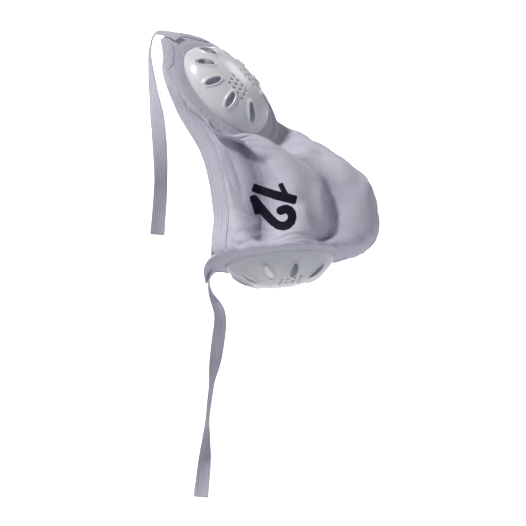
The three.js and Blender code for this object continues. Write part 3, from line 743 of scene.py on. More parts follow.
def bindingPiece(name, fromNeck):
    band = centre["bindingColumns"]
    inwards = slice(None, -band - 2, -1) if fromNeck else slice(0, band + 1)
    lines = bindingStations(upperSide, fromNeck)
    lines += [(points[inwards], normals[inwards]) for points, normals in zip(centrePoints, centreNormals)]
    lines += bindingStations(lowerSide, fromNeck)[::-1]
    coarse = np.linspace(0, 1, band + 1)
    fine = np.linspace(0, 1, binding["stations"] + 1)

    def refined(rows):
        finer = [[np.interp(fine, coarse, row[:, k]) for k in range(3)] for row in rows]
        return np.stack(finer).transpose(0, 2, 1)

    points = refined([line[0] for line in lines])
    normals = unit(refined([line[1] for line in lines]))
    band = binding["stations"]
    along = lengthsAlong(points[:, :1], 0)[:, 0]
    out = points[:, 0] - points[:, 1]
    out = unit(out - normals[:, 0] * dot(out, normals[:, 0]))
    across = lengthsAlong(points, 1)
    leaf = across[:, -1:]
    share = across / leaf
    sunk = sum(np.exp(-((share - spot) * cut["bindingWidth"] / binding["grooveHalf"]) ** 2)
               for spot in binding["grooves"])
    pucker = np.sin(2 * math.pi * along / binding["puckerPitch"] + 0.7 * np.sin(along / 17))[:, None]
    pucker = pucker * np.sin(math.pi * np.clip(share, 0, 1)) * binding["pucker"]
    low = binding["leafRise"]
    high = low + binding["thickness"] - binding["groove"] * sunk + pucker
    rings = []

    def place(column, height, past=0.0):
        height = np.broadcast_to(height, (len(points),))
        rings.append(points[:, column] + normals[:, column] * height[:, None] + out * past)

    uvAcross = []  # runs once round the tape: the outer leaf, the fold, the inner leaf and the hidden side
    last = band
    place(last, low)
    uvAcross.append(-1.0)
    for column in range(last, -1, -1):
        place(column, high[:, column] - (binding["edgeRound"] if column == last else 0))
        uvAcross.append((last - column) * cut["bindingWidth"] / band)
    for degrees in (60, 30, 0, -30, -60):
        turn = math.radians(degrees)
        place(0, binding["wrap"] * math.sin(turn), binding["wrap"] * math.cos(turn))
        uvAcross.append(cut["bindingWidth"] + (60 - degrees) / 60)
    for column in range(0, last + 1):
        place(column, -high[:, column] + (binding["edgeRound"] if column == last else 0))
        uvAcross.append(cut["bindingWidth"] + 2 + column * cut["bindingWidth"] / band)
    place(last, -low)
    place(last // 2, -low)
    place(0, -low, 0.1)
    place(0, low, 0.1)
    place(last // 2, low)
    uvAcross += [35, 37, 40, 43, 46]
    solid = np.array(rings).transpose(1, 0, 2)
    count, size = solid.shape[:2]
    faces, uv = [], []
    for i in range(count - 1):
        for k in range(size):
            after = (k + 1) % size
            faces.append([i * size + k, (i + 1) * size + k, (i + 1) * size + after, i * size + after])
            startU, endU = uvAcross[k], uvAcross[after] if after else uvAcross[-1] + 3
            uv += [(startU, along[i]), (startU, along[i + 1]), (endU, along[i + 1]), (endU, along[i])]
    for base, row in ((0, 0), ((count - 1) * size, count - 1)):
        ring = list(range(base, base + size))
        faces.append(ring if row else ring[::-1])
        uv += [(uvAcross[(k if row else size - 1 - k)], along[row]) for k in range(size)]
    obj = facingOut(makeObject(name, solid.reshape(-1, 3), faces, uv))
    stitchLines = []
    for spot in binding["grooves"]:
        inner = round(spot * band)
        for face in (1, -1):
            height = (high[:, inner] + 0.02) * face
            stitchLines.append((points[:, inner] + normals[:, inner] * height[:, None],
                                normals[:, inner] * face))
    return smoothed(obj), stitchLines


frontBinding, frontStitches = bindingPiece("front_binding_tape", False)
neckBinding, neckStitches = bindingPiece("neck_binding_tape", True)
print("cap: bindings made")

# Stitches: short beads of thread along a line, each lying on the cloth.
thread = {
    "pitch": 3.0, "length": 2.3, "radius": 0.27, "sides": 6,
    "rings": [(-0.62, 0.85), (0, 1.0), (0.62, 0.85)],  # place along the half length, share of the radius
}


def stitchPiece(name, lines):
    verts, faces = [], []
    half, r, sides = thread["length"] / 2, thread["radius"], thread["sides"]
    for points, normals in lines:
        run = lengthsAlong(points[:, None, :], 0)[:, 0]
        count = int(run[-1] / thread["pitch"])
        middles = (np.arange(count) + 0.5) * thread["pitch"]
        spots = np.stack([np.interp(middles, run, points[:, k]) for k in range(3)], -1)
        ahead = np.stack([np.interp(middles + 0.5, run, points[:, k]) for k in range(3)], -1)
        facing = unit(np.stack([np.interp(middles, run, normals[:, k]) for k in range(3)], -1))
        ways = unit(ahead - spots)
        across = unit(np.cross(ways, facing))
        for spot, way, up, aside in zip(spots, ways, facing, across):
            base = len(verts)
            verts.append(spot - way * half - up * r)
            for along, size in thread["rings"]:
                for k in range(sides):
                    turn = k * 2 * math.pi / sides
                    verts.append(spot + way * half * along
                                 + (aside * math.cos(turn) + up * math.sin(turn)) * r * size)
            verts.append(spot + way * half - up * r)
            first, end = base + 1, len(verts) - 1
            for k in range(sides):
                after = (k + 1) % sides
                faces.append([base, first + after, first + k])
                for a in range(first, end - sides, sides):
                    faces.append([a + k, a + after, a + sides + after, a + sides + k])
                faces.append([end, end - sides + k, end - sides + after])
    return facingOut(makeObject(name, np.array(verts), faces))


# Felled seams: the cloth's turned allowance shows as a low raised strip with a row at each side.
felledSeam = {
    "panelSide": 3.4, "upperCentreSide": 2.2, "lowerCentreSide": 4.6, "columns": 11, "panelColumns": 4,
    "rise": 0.6, "sunk": 0.12, "ripple": 0.07, "ripplePitch": 5.2,
}


def seamStrip(side, atUpper):
    row = 0 if atUpper else -1
    seamT = centreT[row]
    u = cut["edgeShare"] + (1 - 2 * cut["edgeShare"]) * seamT
    line = {key: value[:, None] for key, value in panelLine(u).items()}
    length = lineLength(line)
    panelAway = np.linspace(felledSeam["panelSide"], 0, felledSeam["panelColumns"])[None, :-1]
    fromPanel = panelPoint(side, line, length - panelAway)
    column = centrePoints if atUpper else centrePoints[::-1]
    run = lengthsAlong(column, 0)
    centreSide = felledSeam["upperCentreSide" if atUpper else "lowerCentreSide"]
    wanted = np.linspace(0, centreSide, felledSeam["columns"] - felledSeam["panelColumns"] + 1)
    fromCentre = np.empty((len(seamT), len(wanted), 3))
    for j in range(len(seamT)):
        for k in range(3):
            fromCentre[j, :, k] = np.interp(wanted, run[:, j], column[:, j, k])
    points = np.concatenate([fromPanel, fromCentre], 1)
    normals = gridNormals(points)
    facing = dot(normals, centreNormals[row][:, None, :])
    normals = normals * np.sign(facing.mean())
    band = centre["bindingColumns"] - 1
    return points[band:-band], normals[band:-band]


def seamPiece(name, side, atUpper):
    points, normals = seamStrip(side, atUpper)
    share = np.linspace(-1, 1, points.shape[1])
    sunk = felledSeam["sunk"]
    rise = (felledSeam["rise"] * (1 - share ** 8))[None, :, None] + centre["thickness"] / 2 - sunk
    across = lengthsAlong(points, 1)
    along = np.repeat(lengthsAlong(points[:, :1], 0), points.shape[1], 1)
    ripple = np.sin(2 * math.pi * along / felledSeam["ripplePitch"] + np.sin(along / 9))
    ripple = felledSeam["ripple"] * ripple[..., None]
    obj = doubleLayer(name, points + normals * (rise / 2 + sunk), normals, 0.0, across, along)
    flat = readPoints(obj)
    count = points.shape[0] * points.shape[1]
    flat[:count] = (points + normals * (rise + ripple)).reshape(-1, 3)
    flat[count:] = (points + normals * 0.1).reshape(-1, 3)
    obj.data.vertices.foreach_set("co", (flat * 0.001).reshape(-1))
    obj.data.update()
    facingOut(obj)
    lines = []
    for column in (1, points.shape[1] - 2):
        height = rise[:, column] + 0.03
        lines.append((points[:, column] + normals[:, column] * height, normals[:, column]))
    return smoothed(obj), lines


upperSeam, upperSeamStitches = seamPiece("upper_seam_fell", upperSide, True)
lowerSeam, lowerSeamStitches = seamPiece("lower_seam_fell", lowerSide, False)


# two rows of stitching hold each guard's flange behind the cloth
def guardStitches(side):
    angle = np.linspace(0, 2 * math.pi, 240)
    lines = []
    for away in guardRows:
        x = (halfLength + cut["guardClearance"] + away) * np.cos(angle)
        y = (halfWidth + cut["guardClearance"] + away) * np.sin(angle)
        points = inFrame(side["frame"], x, y, np.zeros_like(x))
        normals = np.repeat((side["frame"]["up"] * side["outward"])[None], len(points), 0)
        height = sidePanel["thickness"] / 2 + sideRelief(np.array(away)) + 0.1
        lines.append((points + normals * height, normals))
    return lines


bindingThread = stitchPiece("binding_stitches", frontStitches + neckStitches)
seamThread = stitchPiece("seam_stitches", upperSeamStitches + lowerSeamStitches)
guardThread = stitchPiece("guard_stitches", guardStitches(upperSide) + guardStitches(lowerSide))
print("cap: seams and stitching made")

# Ear guards: a thin moulded dome with a lip round each slot, and two fields of hearing holes.
guard = {
    "wall": 1.7, "lip": 1.35, "lipWidth": 3.1, "spacing": 1.35,
    "slotLength": 17, "slotWidth": 6, "hangSlotWidth": 9,
    "slotAngles": [30, 72, 108, 144, -144, -108, -72, -30],
    "holeRadius": 1.25, "holePitch": 6, "rowPitch": 4.8, "slant": 1.5, "forward": 7, "apart": 13,
    "slotLoops": (0, 0.35, 0.8, 1.35, 2.0, 2.8), "slotClear": 3.4, "holeRim": 0.4, "holeSink": 0.3,
    "rimLoops": (1.0, 0.985, 0.965), "lipFoot": 0.4, "lipRound": 0.8,
    # how far out and how far down each loop of the flange lies
    "flangeLoops": [(0.0, -0.35), (0.25, -0.72), (0.8, -0.9), (2.4, -0.9), (4.2, -0.9),
                    (cut["flangeWidth"], -0.9)],
}
ringTable = np.linspace(0, 1, 2001)
ringSteps = np.hypot(np.diff(ringTable) * (halfLength + halfWidth) / 2, np.diff(domeHeight(ringTable)))
ringRun = np.concatenate([[0], np.cumsum(ringSteps)])
runLength = ringRun[-1]


def slotFrames():
    slots = [(math.pi, guard["hangSlotWidth"])]
    slots += [(math.radians(a), guard["slotWidth"]) for a in guard["slotAngles"]]
    return slots


def domePoint(ring, angle):
    along, across = ring * halfLength * np.cos(angle), ring * halfWidth * np.sin(angle)
    return np.stack([along, across, domeHeight(ring)], -1)


# The dome is meshed flat, in a disc whose radius is the run along the dome, and then raised.
def discToDome(disc):
    away = np.hypot(disc[:, 0], disc[:, 1])
    angle = np.arctan2(disc[:, 1], disc[:, 0])
    ring = np.interp(away, ringRun, ringTable)
    return domePoint(ring, angle), ring, angle


def domeNormal(ring, angle):
    ringStep, turnStep = 0.0012, 0.01
    ring = np.clip(ring, 0.004, 0.9985)
    outwards = domePoint(ring + ringStep, angle) - domePoint(ring - ringStep, angle)
    around = domePoint(ring, angle + turnStep) - domePoint(ring, angle - turnStep)
    return unit(np.cross(outwards, around))


# distance to a slot's outline, measured along the dome, with slot axes a (radial) and b (round)
def slotDistance(ring, angle, slotAngle, width):
    a = np.interp(ring, ringTable, ringRun) - np.interp(cut["slotRing"], ringTable, ringRun)
    turn = (angle - slotAngle + math.pi) % (2 * math.pi) - math.pi
    b = turn * ring * np.hypot(halfLength * math.sin(slotAngle), halfWidth * math.cos(slotAngle))
    long, wide = guard["slotLength"] / 2, width / 2
    size = np.hypot(a / long, b / wide)
    return size * (size - 1) / np.maximum(np.hypot(a / long**2, b / wide**2), 1e-6)


# an oval slot's outline, or one that lies further out by grow
def slotOutline(slotAngle, width, grow=0.0):
    turn = np.linspace(0, 2 * math.pi, 35)[:-1]
    long, wide = guard["slotLength"] / 2, width / 2
    facing = unit(np.stack([np.cos(turn) / long, np.sin(turn) / wide], -1))
    spots = np.stack([long * np.cos(turn), wide * np.sin(turn)], -1) + facing * grow
    away = np.interp(cut["slotRing"], ringTable, ringRun) + spots[:, 0]
    ring = np.interp(away, ringRun, ringTable)
    stretch = np.hypot(halfLength * math.sin(slotAngle), halfWidth * math.cos(slotAngle))
    angle = slotAngle + spots[:, 1] / (ring * stretch)
    return np.stack([away * np.cos(angle), away * np.sin(angle)], -1)


def planToDisc(x, y):
    ring, angle = np.hypot(x / halfLength, y / halfWidth), np.arctan2(y / halfWidth, x / halfLength)
    away = np.interp(ring, ringTable, ringRun)
    return np.stack([away * np.cos(angle), away * np.sin(angle)], -1)


def hearingHoles():
    spots = []
    for field in (-1, 1):
        for row in (-1, 0, 1):
            for column in (-1.5, -0.5, 0.5, 1.5):
                spots.append((guard["forward"] + column * guard["holePitch"] + row * guard["slant"],
                              field * (guard["apart"] + row * guard["rowPitch"])))
    return spots


def domeMesh():
    loops = []
    for slotAngle, width in slotFrames():
        for grow in guard["slotLoops"]:
            loops.append(slotOutline(slotAngle, width, grow))
    circle = np.linspace(0, 2 * math.pi, 15)[:-1]
    for x, y in hearingHoles():
        for radius in (guard["holeRadius"], guard["holeRadius"] + guard["holeRim"]):
            loops.append(planToDisc(x + radius * np.cos(circle), y + radius * np.sin(circle)))
    around = np.linspace(0, 2 * math.pi, 301)[:-1]
    for share in guard["rimLoops"]:
        loops.append(np.stack([runLength * share * np.cos(around), runLength * share * np.sin(around)], -1))
    fixed = np.concatenate(loops)
    pitch = guard["spacing"]
    count = int(runLength / pitch) + 2
    grid = np.array([((i + 0.5 * (j % 2)) * pitch, j * pitch * 0.866)
                     for j in range(-count, count + 1) for i in range(-count, count + 1)])
    grid = grid[np.hypot(grid[:, 0], grid[:, 1]) < runLength * 0.95]
    _, ring, angle = discToDome(grid)
    keep = np.ones(len(grid), bool)
    for slotAngle, width in slotFrames():
        keep &= slotDistance(ring, angle, slotAngle, width) > guard["slotClear"]
    near = np.array([np.linalg.norm(fixed - spot, axis=1).min() for spot in grid])
    keep &= near > pitch * 0.55
    spots = np.concatenate([fixed, grid[keep]])
    edges, base = [], 0
    for loop in loops:
        size = len(loop)
        edges += [(base + k, base + (k + 1) % size) for k in range(size)]
        base += size
    flat, _, faces, _, _, _ = geometry.delaunay_2d_cdt([Vector(p) for p in spots], edges, [], 1, 1e-5)
    disc = np.array([tuple(p) for p in flat])
    faces = np.array([tuple(f) for f in faces])
    middle = disc[faces].mean(1)
    _, ring, angle = discToDome(middle)
    solid = np.hypot(middle[:, 0], middle[:, 1]) < runLength
    for slotAngle, width in slotFrames():
        solid &= slotDistance(ring, angle, slotAngle, width) > 0
    plan = discToDome(middle)[0]
    for x, y in hearingHoles():
        solid &= np.hypot(plan[:, 0] - x, plan[:, 1] - y) > guard["holeRadius"] * 0.98
    return disc, faces[solid]


def guardMesh():
    disc, faces = domeMesh()
    points, ring, angle = discToDome(disc)
    normals = domeNormal(ring, angle)
    rise = np.zeros(len(disc))
    for slotAngle, width in slotFrames():
        away = np.maximum(slotDistance(ring, angle, slotAngle, width), 0)
        rounded = np.sin(np.clip(away / guard["lipRound"], 0, 1) * math.pi / 2)
        lip = np.where(away < guard["lipRound"], mix(guard["lipFoot"], 1.0, rounded),
                       1 - smoothStep(away, guard["lipRound"], guard["lipWidth"]))
        rise = np.maximum(rise, guard["lip"] * lip)
    for x, y in hearingHoles():
        away = np.hypot(points[:, 0] - x, points[:, 1] - y) - guard["holeRadius"]
        rise = np.where((away < 0.05) & (away > -0.3), -guard["holeSink"], rise)
    points = points + normals * rise[:, None]
    verts, faces = [tuple(p) for p in points], [tuple(int(k) for k in f) for f in faces]
    rim = np.where(np.abs(np.hypot(disc[:, 0], disc[:, 1]) - runLength) < 1e-3)[0]
    rim = rim[np.argsort(np.arctan2(disc[rim, 1], disc[rim, 0]))]
    turns = np.arctan2(disc[rim, 1], disc[rim, 0])
    before = list(rim)
    for grow, z in guard["flangeLoops"]:
        base = len(verts)
        for turn in turns:
            verts.append(((halfLength + grow) * math.cos(turn), (halfWidth + grow) * math.sin(turn), z))
        now = list(range(base, base + len(turns)))
        for k in range(len(turns)):
            after = (k + 1) % len(turns)
            faces.append((int(before[k]), int(now[k]), int(now[after]), int(before[after])))
        before = now
    return verts, faces


def guardPiece(name, side, verts, faces):
    local = np.array(verts)
    place = side["frame"]
    points = inFrame(place, local[:, 0], local[:, 1], local[:, 2] * side["outward"])
    obj = makeObject(name, points, faces)
    edit = bmesh.new()
    edit.from_mesh(obj.data)
    loose = [v for v in edit.verts if not v.link_faces]
    bmesh.ops.delete(edit, geom=loose, context="VERTS")
    bmesh.ops.recalc_face_normals(edit, faces=edit.faces)
    edit.normal_update()
    outside = Vector(place["up"] * side["outward"])
    top = max(edit.verts, key=lambda v: v.co.dot(outside))
    if top.normal.dot(outside) < 0:
        bmesh.ops.reverse_faces(edit, faces=edit.faces)
    edit.to_mesh(obj.data)
    edit.free()
    shell = obj.modifiers.new("wall", "SOLIDIFY")
    shell.thickness = guard["wall"] * 0.001
    shell.offset = -1
    shell.use_even_offset = False
    withModifiersApplied(obj)
    obj.data.set_sharp_from_angle(angle=math.radians(50))
    return obj


guardVerts, guardFaces = guardMesh()
upperGuard = guardPiece("upper_ear_guard_shell", upperSide, guardVerts, guardFaces)
lowerGuard = guardPiece("lower_ear_guard_shell", lowerSide, guardVerts, guardFaces)
print("cap: ear guards made,", len(upperGuard.data.polygons), "faces each")

# Ties: flat woven tape sewn on the flap, hanging free to a folded and stitched end.
tie = {
    "length": 220, "width": 14, "thickness": 1.0, "lift": 2.5, "steps": 150, "columns": 9,
    "hem": 11, "hemThickness": 0.9, "hemStep": 0.8, "hemStitch": 1.8, "seatStitches": (1.5, 10.5),
    "cup": 0.7, "wave": 0.45, "freeFrom": (14, 40), "selvedge": 0.18, "selvedgeHalf": 0.12,
}
# each row: x, y and z as shares of the length from the flap's end, the turn of the face and its lean
upperHang = [
    (-0.04, 0.004, 0.0, -70, 0.9), (-0.062, 0.012, -0.06, -82, 0.1), (-0.055, 0.025, -0.2, -60, 0),
    (-0.03, 0.02, -0.4, -10, 0), (-0.02, 0.02, -0.62, 25, 0), (-0.035, 0.02, -0.86, 15, 0),
]
lowerHang = [
    (0.006, -0.005, -0.05, 75, 0), (0.045, -0.015, -0.14, 40, 0), (0.035, -0.01, -0.28, 25, 0),
    (0.01, 0.0, -0.44, 70, 0), (-0.01, 0.01, -0.6, 75, 0), (-0.02, 0.01, -0.76, 30, 0),
    (-0.035, 0.0, -0.92, 5, 0),
]


# a centripetal curve through the rows
def curveThrough(rows, count):
    rows = np.array(rows, float)
    ends = np.concatenate([[2 * rows[0] - rows[1]], rows, [2 * rows[-1] - rows[-2]]])
    found = []
    for share in np.linspace(0, 1, count):
        place = share * (len(rows) - 1)
        i = min(int(place), len(rows) - 2)
        u = place - i
        p0, p1, p2, p3 = ends[i:i + 4]
        gaps = [max(np.linalg.norm(b - a) ** 0.5, 1e-4) for a, b in ((p0, p1), (p1, p2), (p2, p3))]
        one = ((p1 - p0) / gaps[0] - (p2 - p0) / (gaps[0] + gaps[1]) + (p2 - p1) / gaps[1]) * gaps[1]
        two = ((p2 - p1) / gaps[1] - (p3 - p1) / (gaps[1] + gaps[2]) + (p3 - p2) / gaps[2]) * gaps[1]
        square, cube = 3 * (p2 - p1) - 2 * one - two, 2 * (p1 - p2) + one + two
        found.append(p1 + one * u + square * u**2 + cube * u**3)
    return np.array(found)


def tieRows(side, hang):
    middle = {key: value[0] for key, value in flapLine(np.array([0.0])).items()}
    length = lineLength(middle)
    lift = tie["lift"] + side["standOff"]

    def onFlap(distance):
        point = panelPoint(side, middle, distance)
        along = panelPoint(side, middle, distance + 0.2) - point
        face = unit(np.cross(along, side["frame"]["short"])) * -side["outward"]
        if face @ side["frame"]["up"] * side["outward"] < 0:
            face = -face
        return point + face * lift, face

    rows = [onFlap(length * 0.5), onFlap(length * 0.75), onFlap(length + 0.3)]
    end = rows[-1][0]
    for x, y, z, turn, lean in hang:
        turn = math.radians(turn)
        facing = np.array([math.sin(turn), -math.cos(turn), lean])
        rows.append((end + np.array([x, y, z]) * tie["length"], facing))
    return rows


def tiePiece(name, side, hang, phase):
    rows = tieRows(side, hang)
    line = curveThrough([row[0] for row in rows], tie["steps"])
    faces = curveThrough([row[1] for row in rows], tie["steps"])
    along = unit(np.gradient(line, axis=0))
    face = unit(faces - along * dot(faces, along))
    across = unit(np.cross(along, face))
    run = lengthsAlong(line[:, None], 0)[:, 0]
    free = smoothStep(run, *tie["freeFrom"])
    w = np.linspace(-1, 1, tie["columns"])
    cup = tie["cup"] * free * (0.6 + 0.4 * np.sin(run / 31 + phase))
    wave = tie["wave"] * free * np.sin(run / 6.3 + phase) * np.sin(run / 23 + 2 * phase)
    points = (line[:, None] + across[:, None] * (w * tie["width"] / 2)[None, :, None]
              + face[:, None] * (cup[:, None] * (w**2)[None] + wave[:, None] * (w**3)[None])[..., None])
    normals = gridNormals(points)
    normals = normals * np.sign(dot(normals, face[:, None]).mean())
    hemmed = smoothStep(run, run[-1] - tie["hem"] - tie["hemStep"], run[-1] - tie["hem"])
    selvedge = 1 + tie["selvedge"] * np.exp(-((1 - np.abs(w)) / tie["selvedgeHalf"]) ** 2)
    half = tie["thickness"] / 2 * selvedge[None] + tie["hemThickness"] / 2 * hemmed[:, None]
    u = np.repeat((w * tie["width"] / 2 + 7)[None], len(run), 0)
    v = np.repeat(run[:, None], len(w), 1)
    middle = points - normals * (hemmed[:, None, None] * tie["hemThickness"] / 2)
    obj = smoothed(doubleLayer(name, middle, normals * half[..., None], 2.0, u, v))
    lines = []
    hemRow = int(np.argmin(np.abs(run - (run[-1] - tie["hem"] + tie["hemStitch"]))))
    seat = [int(np.argmin(np.abs(run - away))) for away in tie["seatStitches"]]
    for row in (hemRow, *seat):
        for sign in (1, -1):
            top = points[row, 1:-1] + normals[row, 1:-1] * sign * (half[row, 1:-1, None] + 0.02)
            top = top - normals[row, 1:-1] * hemmed[row] * tie["hemThickness"] / 2
            lines.append((top, normals[row, 1:-1] * sign))
    for column in (1, -2):
        rows = slice(seat[0], seat[1] + 1)
        lines.append((points[rows, column] + normals[rows, column] * (half[rows, column, None] + 0.02),
                      normals[rows, column]))
    return obj, lines, run[-1]


upperTie, upperTieStitches, upperTieLength = tiePiece("upper_tie_woven", upperSide, upperHang, 0.4)
lowerTie, lowerTieStitches, lowerTieLength = tiePiece("lower_tie_woven", lowerSide, lowerHang, 2.1)
tieThread = stitchPiece("tie_stitches", upperTieStitches + lowerTieStitches)
print("cap: ties made, %.0f and %.0f mm long" % (upperTieLength, lowerTieLength))


# Materials. Colours are given as sRGB hex.
def linearColour(code):
    values = [int(code[i:i + 2], 16) / 255 for i in (1, 3, 5)]
    return tuple(c / 12.92 if c <= 0.04045 else ((c + 0.055) / 1.055) ** 2.4 for c in values) + (1.0,)


# adds one node: settings are its properties, inputs are values, or nodes or sockets to link from
def addNode(tree, kind, settings=None, **inputs):
    made = tree.nodes.new("ShaderNode" + kind)
    for key, value in (settings or {}).items():
        setattr(made, key, value)
    for key, value in inputs.items():
        place = int(key[1:]) if key[0] == "i" and key[1:].isdigit() else key.replace("_", " ")
        if isinstance(value, bpy.types.Node):
            value = value.outputs[0]
        if isinstance(value, bpy.types.NodeSocket):
            tree.links.new(value, made.inputs[place])
        else:
            made.inputs[place].default_value = value
    return made


def newMaterial(name):
    material = bpy.data.materials.new(name)
    material.use_nodes = True
    material.node_tree.nodes.clear()
    return material, material.node_tree


# two crossed waves of thread, whose pitches are in millimetres along the cloth
def crossedThreads(tree, cloth, across, along):
    waves = []
    for way, pitch in ((across, cloth["pitchAcross"]), (along, cloth["pitchAlong"])):
        turn = addNode(tree, "Math", {"operation": "MULTIPLY"}, i0=way, i1=2 * math.pi / pitch)
        waves.append(addNode(tree, "Math", {"operation": "SINE"}, i0=turn))
    lesser = addNode(tree, "Math", {"operation": "MULTIPLY"}, i0=waves[1], i1=1 - cloth["shareAcross"])
    return addNode(tree, "Math", {"operation": "MULTIPLY_ADD"}, i0=waves[0], i1=cloth["shareAcross"],
                   i2=lesser)


def finishCloth(tree, cloth, colour, rough, crush, height):
    creasing = addNode(tree, "Bump", Height=crush, Strength=cloth["crush"], Distance=cloth["crushDepth"])
    relief = addNode(tree, "Bump", Height=height, Strength=cloth["threads"], Distance=cloth["threadDepth"],
                     Normal=creasing)
    shader = addNode(tree, "BsdfPrincipled", Base_Color=colour, Roughness=rough, Normal=relief,
                     Sheen_Weight=cloth["sheen"], Sheen_Roughness=cloth["sheenRoughness"],
                     Specular_IOR_Level=cloth["specular"])
    addNode(tree, "OutputMaterial", Surface=shader)


# Polyester tricot, warp knitted and bleached: matt, with fine ribs and a little sheen at the edges. Painted
# shade darkens the hollows of its folds.
tricot = {
    "white": "#DFDFEB", "shade": "#D3D2E2", "paintedFoldShade": "#8F8BA2", "ink": "#07091D", "inkWorn": "#101229",
    # real wales are 0.7 mm apart, too fine to show, so they are drawn three times as wide
    "pitchAcross": 2.2, "pitchAlong": 1.6, "shareAcross": 0.7, "waleLean": 0.35,
    "roughness": 0.82, "inkRoughness": 0.66, "sheen": 0.14, "sheenRoughness": 0.45, "specular": 0.16,
    "crush": 0.5, "crushDepth": 0.0008, "threads": 0.55, "threadDepth": 0.00017, "fuzz": 0.4,
    # how deep a fold is, in millimetres, and how far painted shade greys it
    "shadeFromDepth": 2.0, "shadeFullDepth": 15.0, "foldShadeStrength": 1.25,
}


def tricotMaterial(name, printed):
    material, tree = newMaterial(name)
    place = addNode(tree, "UVMap", {"uv_map": "clothMm"})
    across, along, _ = addNode(tree, "SeparateXYZ", Vector=place).outputs
    # each wale is a chain of loops, so it leans to and fro as it climbs
    lean = addNode(tree, "Math", {"operation": "PINGPONG"}, i0=along, i1=tricot["pitchAlong"])
    leant = addNode(tree, "Math", {"operation": "MULTIPLY_ADD"}, i0=lean, i1=tricot["waleLean"], i2=across)
    knit = crossedThreads(tree, tricot, leant, along)
    body = addNode(tree, "TexCoord").outputs["Object"]
    blotch = addNode(tree, "TexNoise", Vector=body, Scale=28.0, Detail=4.0, Roughness=0.55)
    crush = addNode(tree, "TexNoise", Vector=body, Scale=95.0, Detail=5.0, Roughness=0.6, Distortion=0.6)
    fuzz = addNode(tree, "TexNoise", Vector=place, Scale=3.1, Detail=2.0)
    tint = addNode(tree, "ValToRGB", Fac=blotch)
    for stop, position, tone in zip(tint.color_ramp.elements, (0.32, 0.68), ("shade", "white")):
        stop.position, stop.color = position, linearColour(tricot[tone])
    # painted shade: the deeper a fold's hollow, the more the cloth's colour is mixed toward a lavender grey,
    # standing in for the shade that falls there
    hollow = addNode(tree, "Attribute", {"attribute_name": "hollow"}).outputs["Fac"]
    depth = addNode(tree, "MapRange", Value=hollow, From_Min=tricot["shadeFromDepth"], From_Max=tricot["shadeFullDepth"],
                    To_Min=0.0, To_Max=tricot["foldShadeStrength"])
    foldShadeStrength = addNode(tree, "Math", {"operation": "MULTIPLY"}, i0=depth, i1=crush)
    foldShadedTint = addNode(tree, "Mix", {"data_type": "RGBA"}, Factor=foldShadeStrength, i6=tint, i7=linearColour(tricot["paintedFoldShade"]))
    # painted shade and light: the knit's sunk threads are made a little darker and its raised threads a
    # little lighter
    threads = addNode(tree, "MapRange", Value=knit, From_Min=-1.0, From_Max=1.0, To_Min=0.93, To_Max=1.03)
    colour = addNode(tree, "VectorMath", {"operation": "SCALE"}, Vector=foldShadedTint.outputs[2], Scale=threads)
    height = addNode(tree, "Math", {"operation": "MULTIPLY_ADD"}, i0=fuzz, i1=tricot["fuzz"], i2=knit)
    if printed:
        # screen-printed ink: the film fills the knit, so it is darker and flatter than the cloth
        ink, outer = (addNode(tree, "Attribute", {"attribute_name": key}).outputs["Fac"]
                      for key in ("ink", "outer"))
        ragged = addNode(tree, "Math", {"operation": "MULTIPLY_ADD"}, i0=knit, i1=0.1, i2=ink)
        covered = addNode(tree, "MapRange", Value=ragged, From_Min=0.22, From_Max=-0.22,
                          To_Min=0.0, To_Max=1.0)
        faced = addNode(tree, "Math", {"operation": "GREATER_THAN"}, i0=outer, i1=0.6)
        laid = addNode(tree, "Math", {"operation": "MULTIPLY"}, i0=covered, i1=faced)
        film = addNode(tree, "Mix", {"data_type": "RGBA"}, Factor=crush, i6=linearColour(tricot["ink"]),
                       i7=linearColour(tricot["inkWorn"]))
        inked = addNode(tree, "Mix", {"data_type": "RGBA"}, Factor=laid, i6=colour, i7=film.outputs[2])
        colour = inked.outputs[2]
        rough = addNode(tree, "MapRange", Value=laid, To_Min=tricot["roughness"],
                        To_Max=tricot["inkRoughness"])
    else:
        rough = addNode(tree, "MapRange", Value=crush, To_Min=tricot["roughness"] - 0.06,
                        To_Max=tricot["roughness"] + 0.08)
    finishCloth(tree, tricot, colour, rough, crush, height)
    return material


# Cotton and polyester tape, woven in ribs along its length: matt, slightly greyer than the knit, with painted
# shade in the sunk parts of its weave.
tapeWeave = {
    # groove is the painted shade colour for the sunk parts of the weave
    "white": "#E3E3EE", "shade": "#D1D0E0", "groove": "#B0AEC3",
    # real ribs are 0.8 mm apart, drawn coarser so that they show
    "pitchAcross": 2.2, "pitchAlong": 1.5, "shareAcross": 0.65, "twill": 0.55,
    "roughness": 0.88, "sheen": 0.25, "sheenRoughness": 0.5, "specular": 0.25,
    "crush": 0.4, "crushDepth": 0.0006, "threads": 0.6, "threadDepth": 0.00028,
}


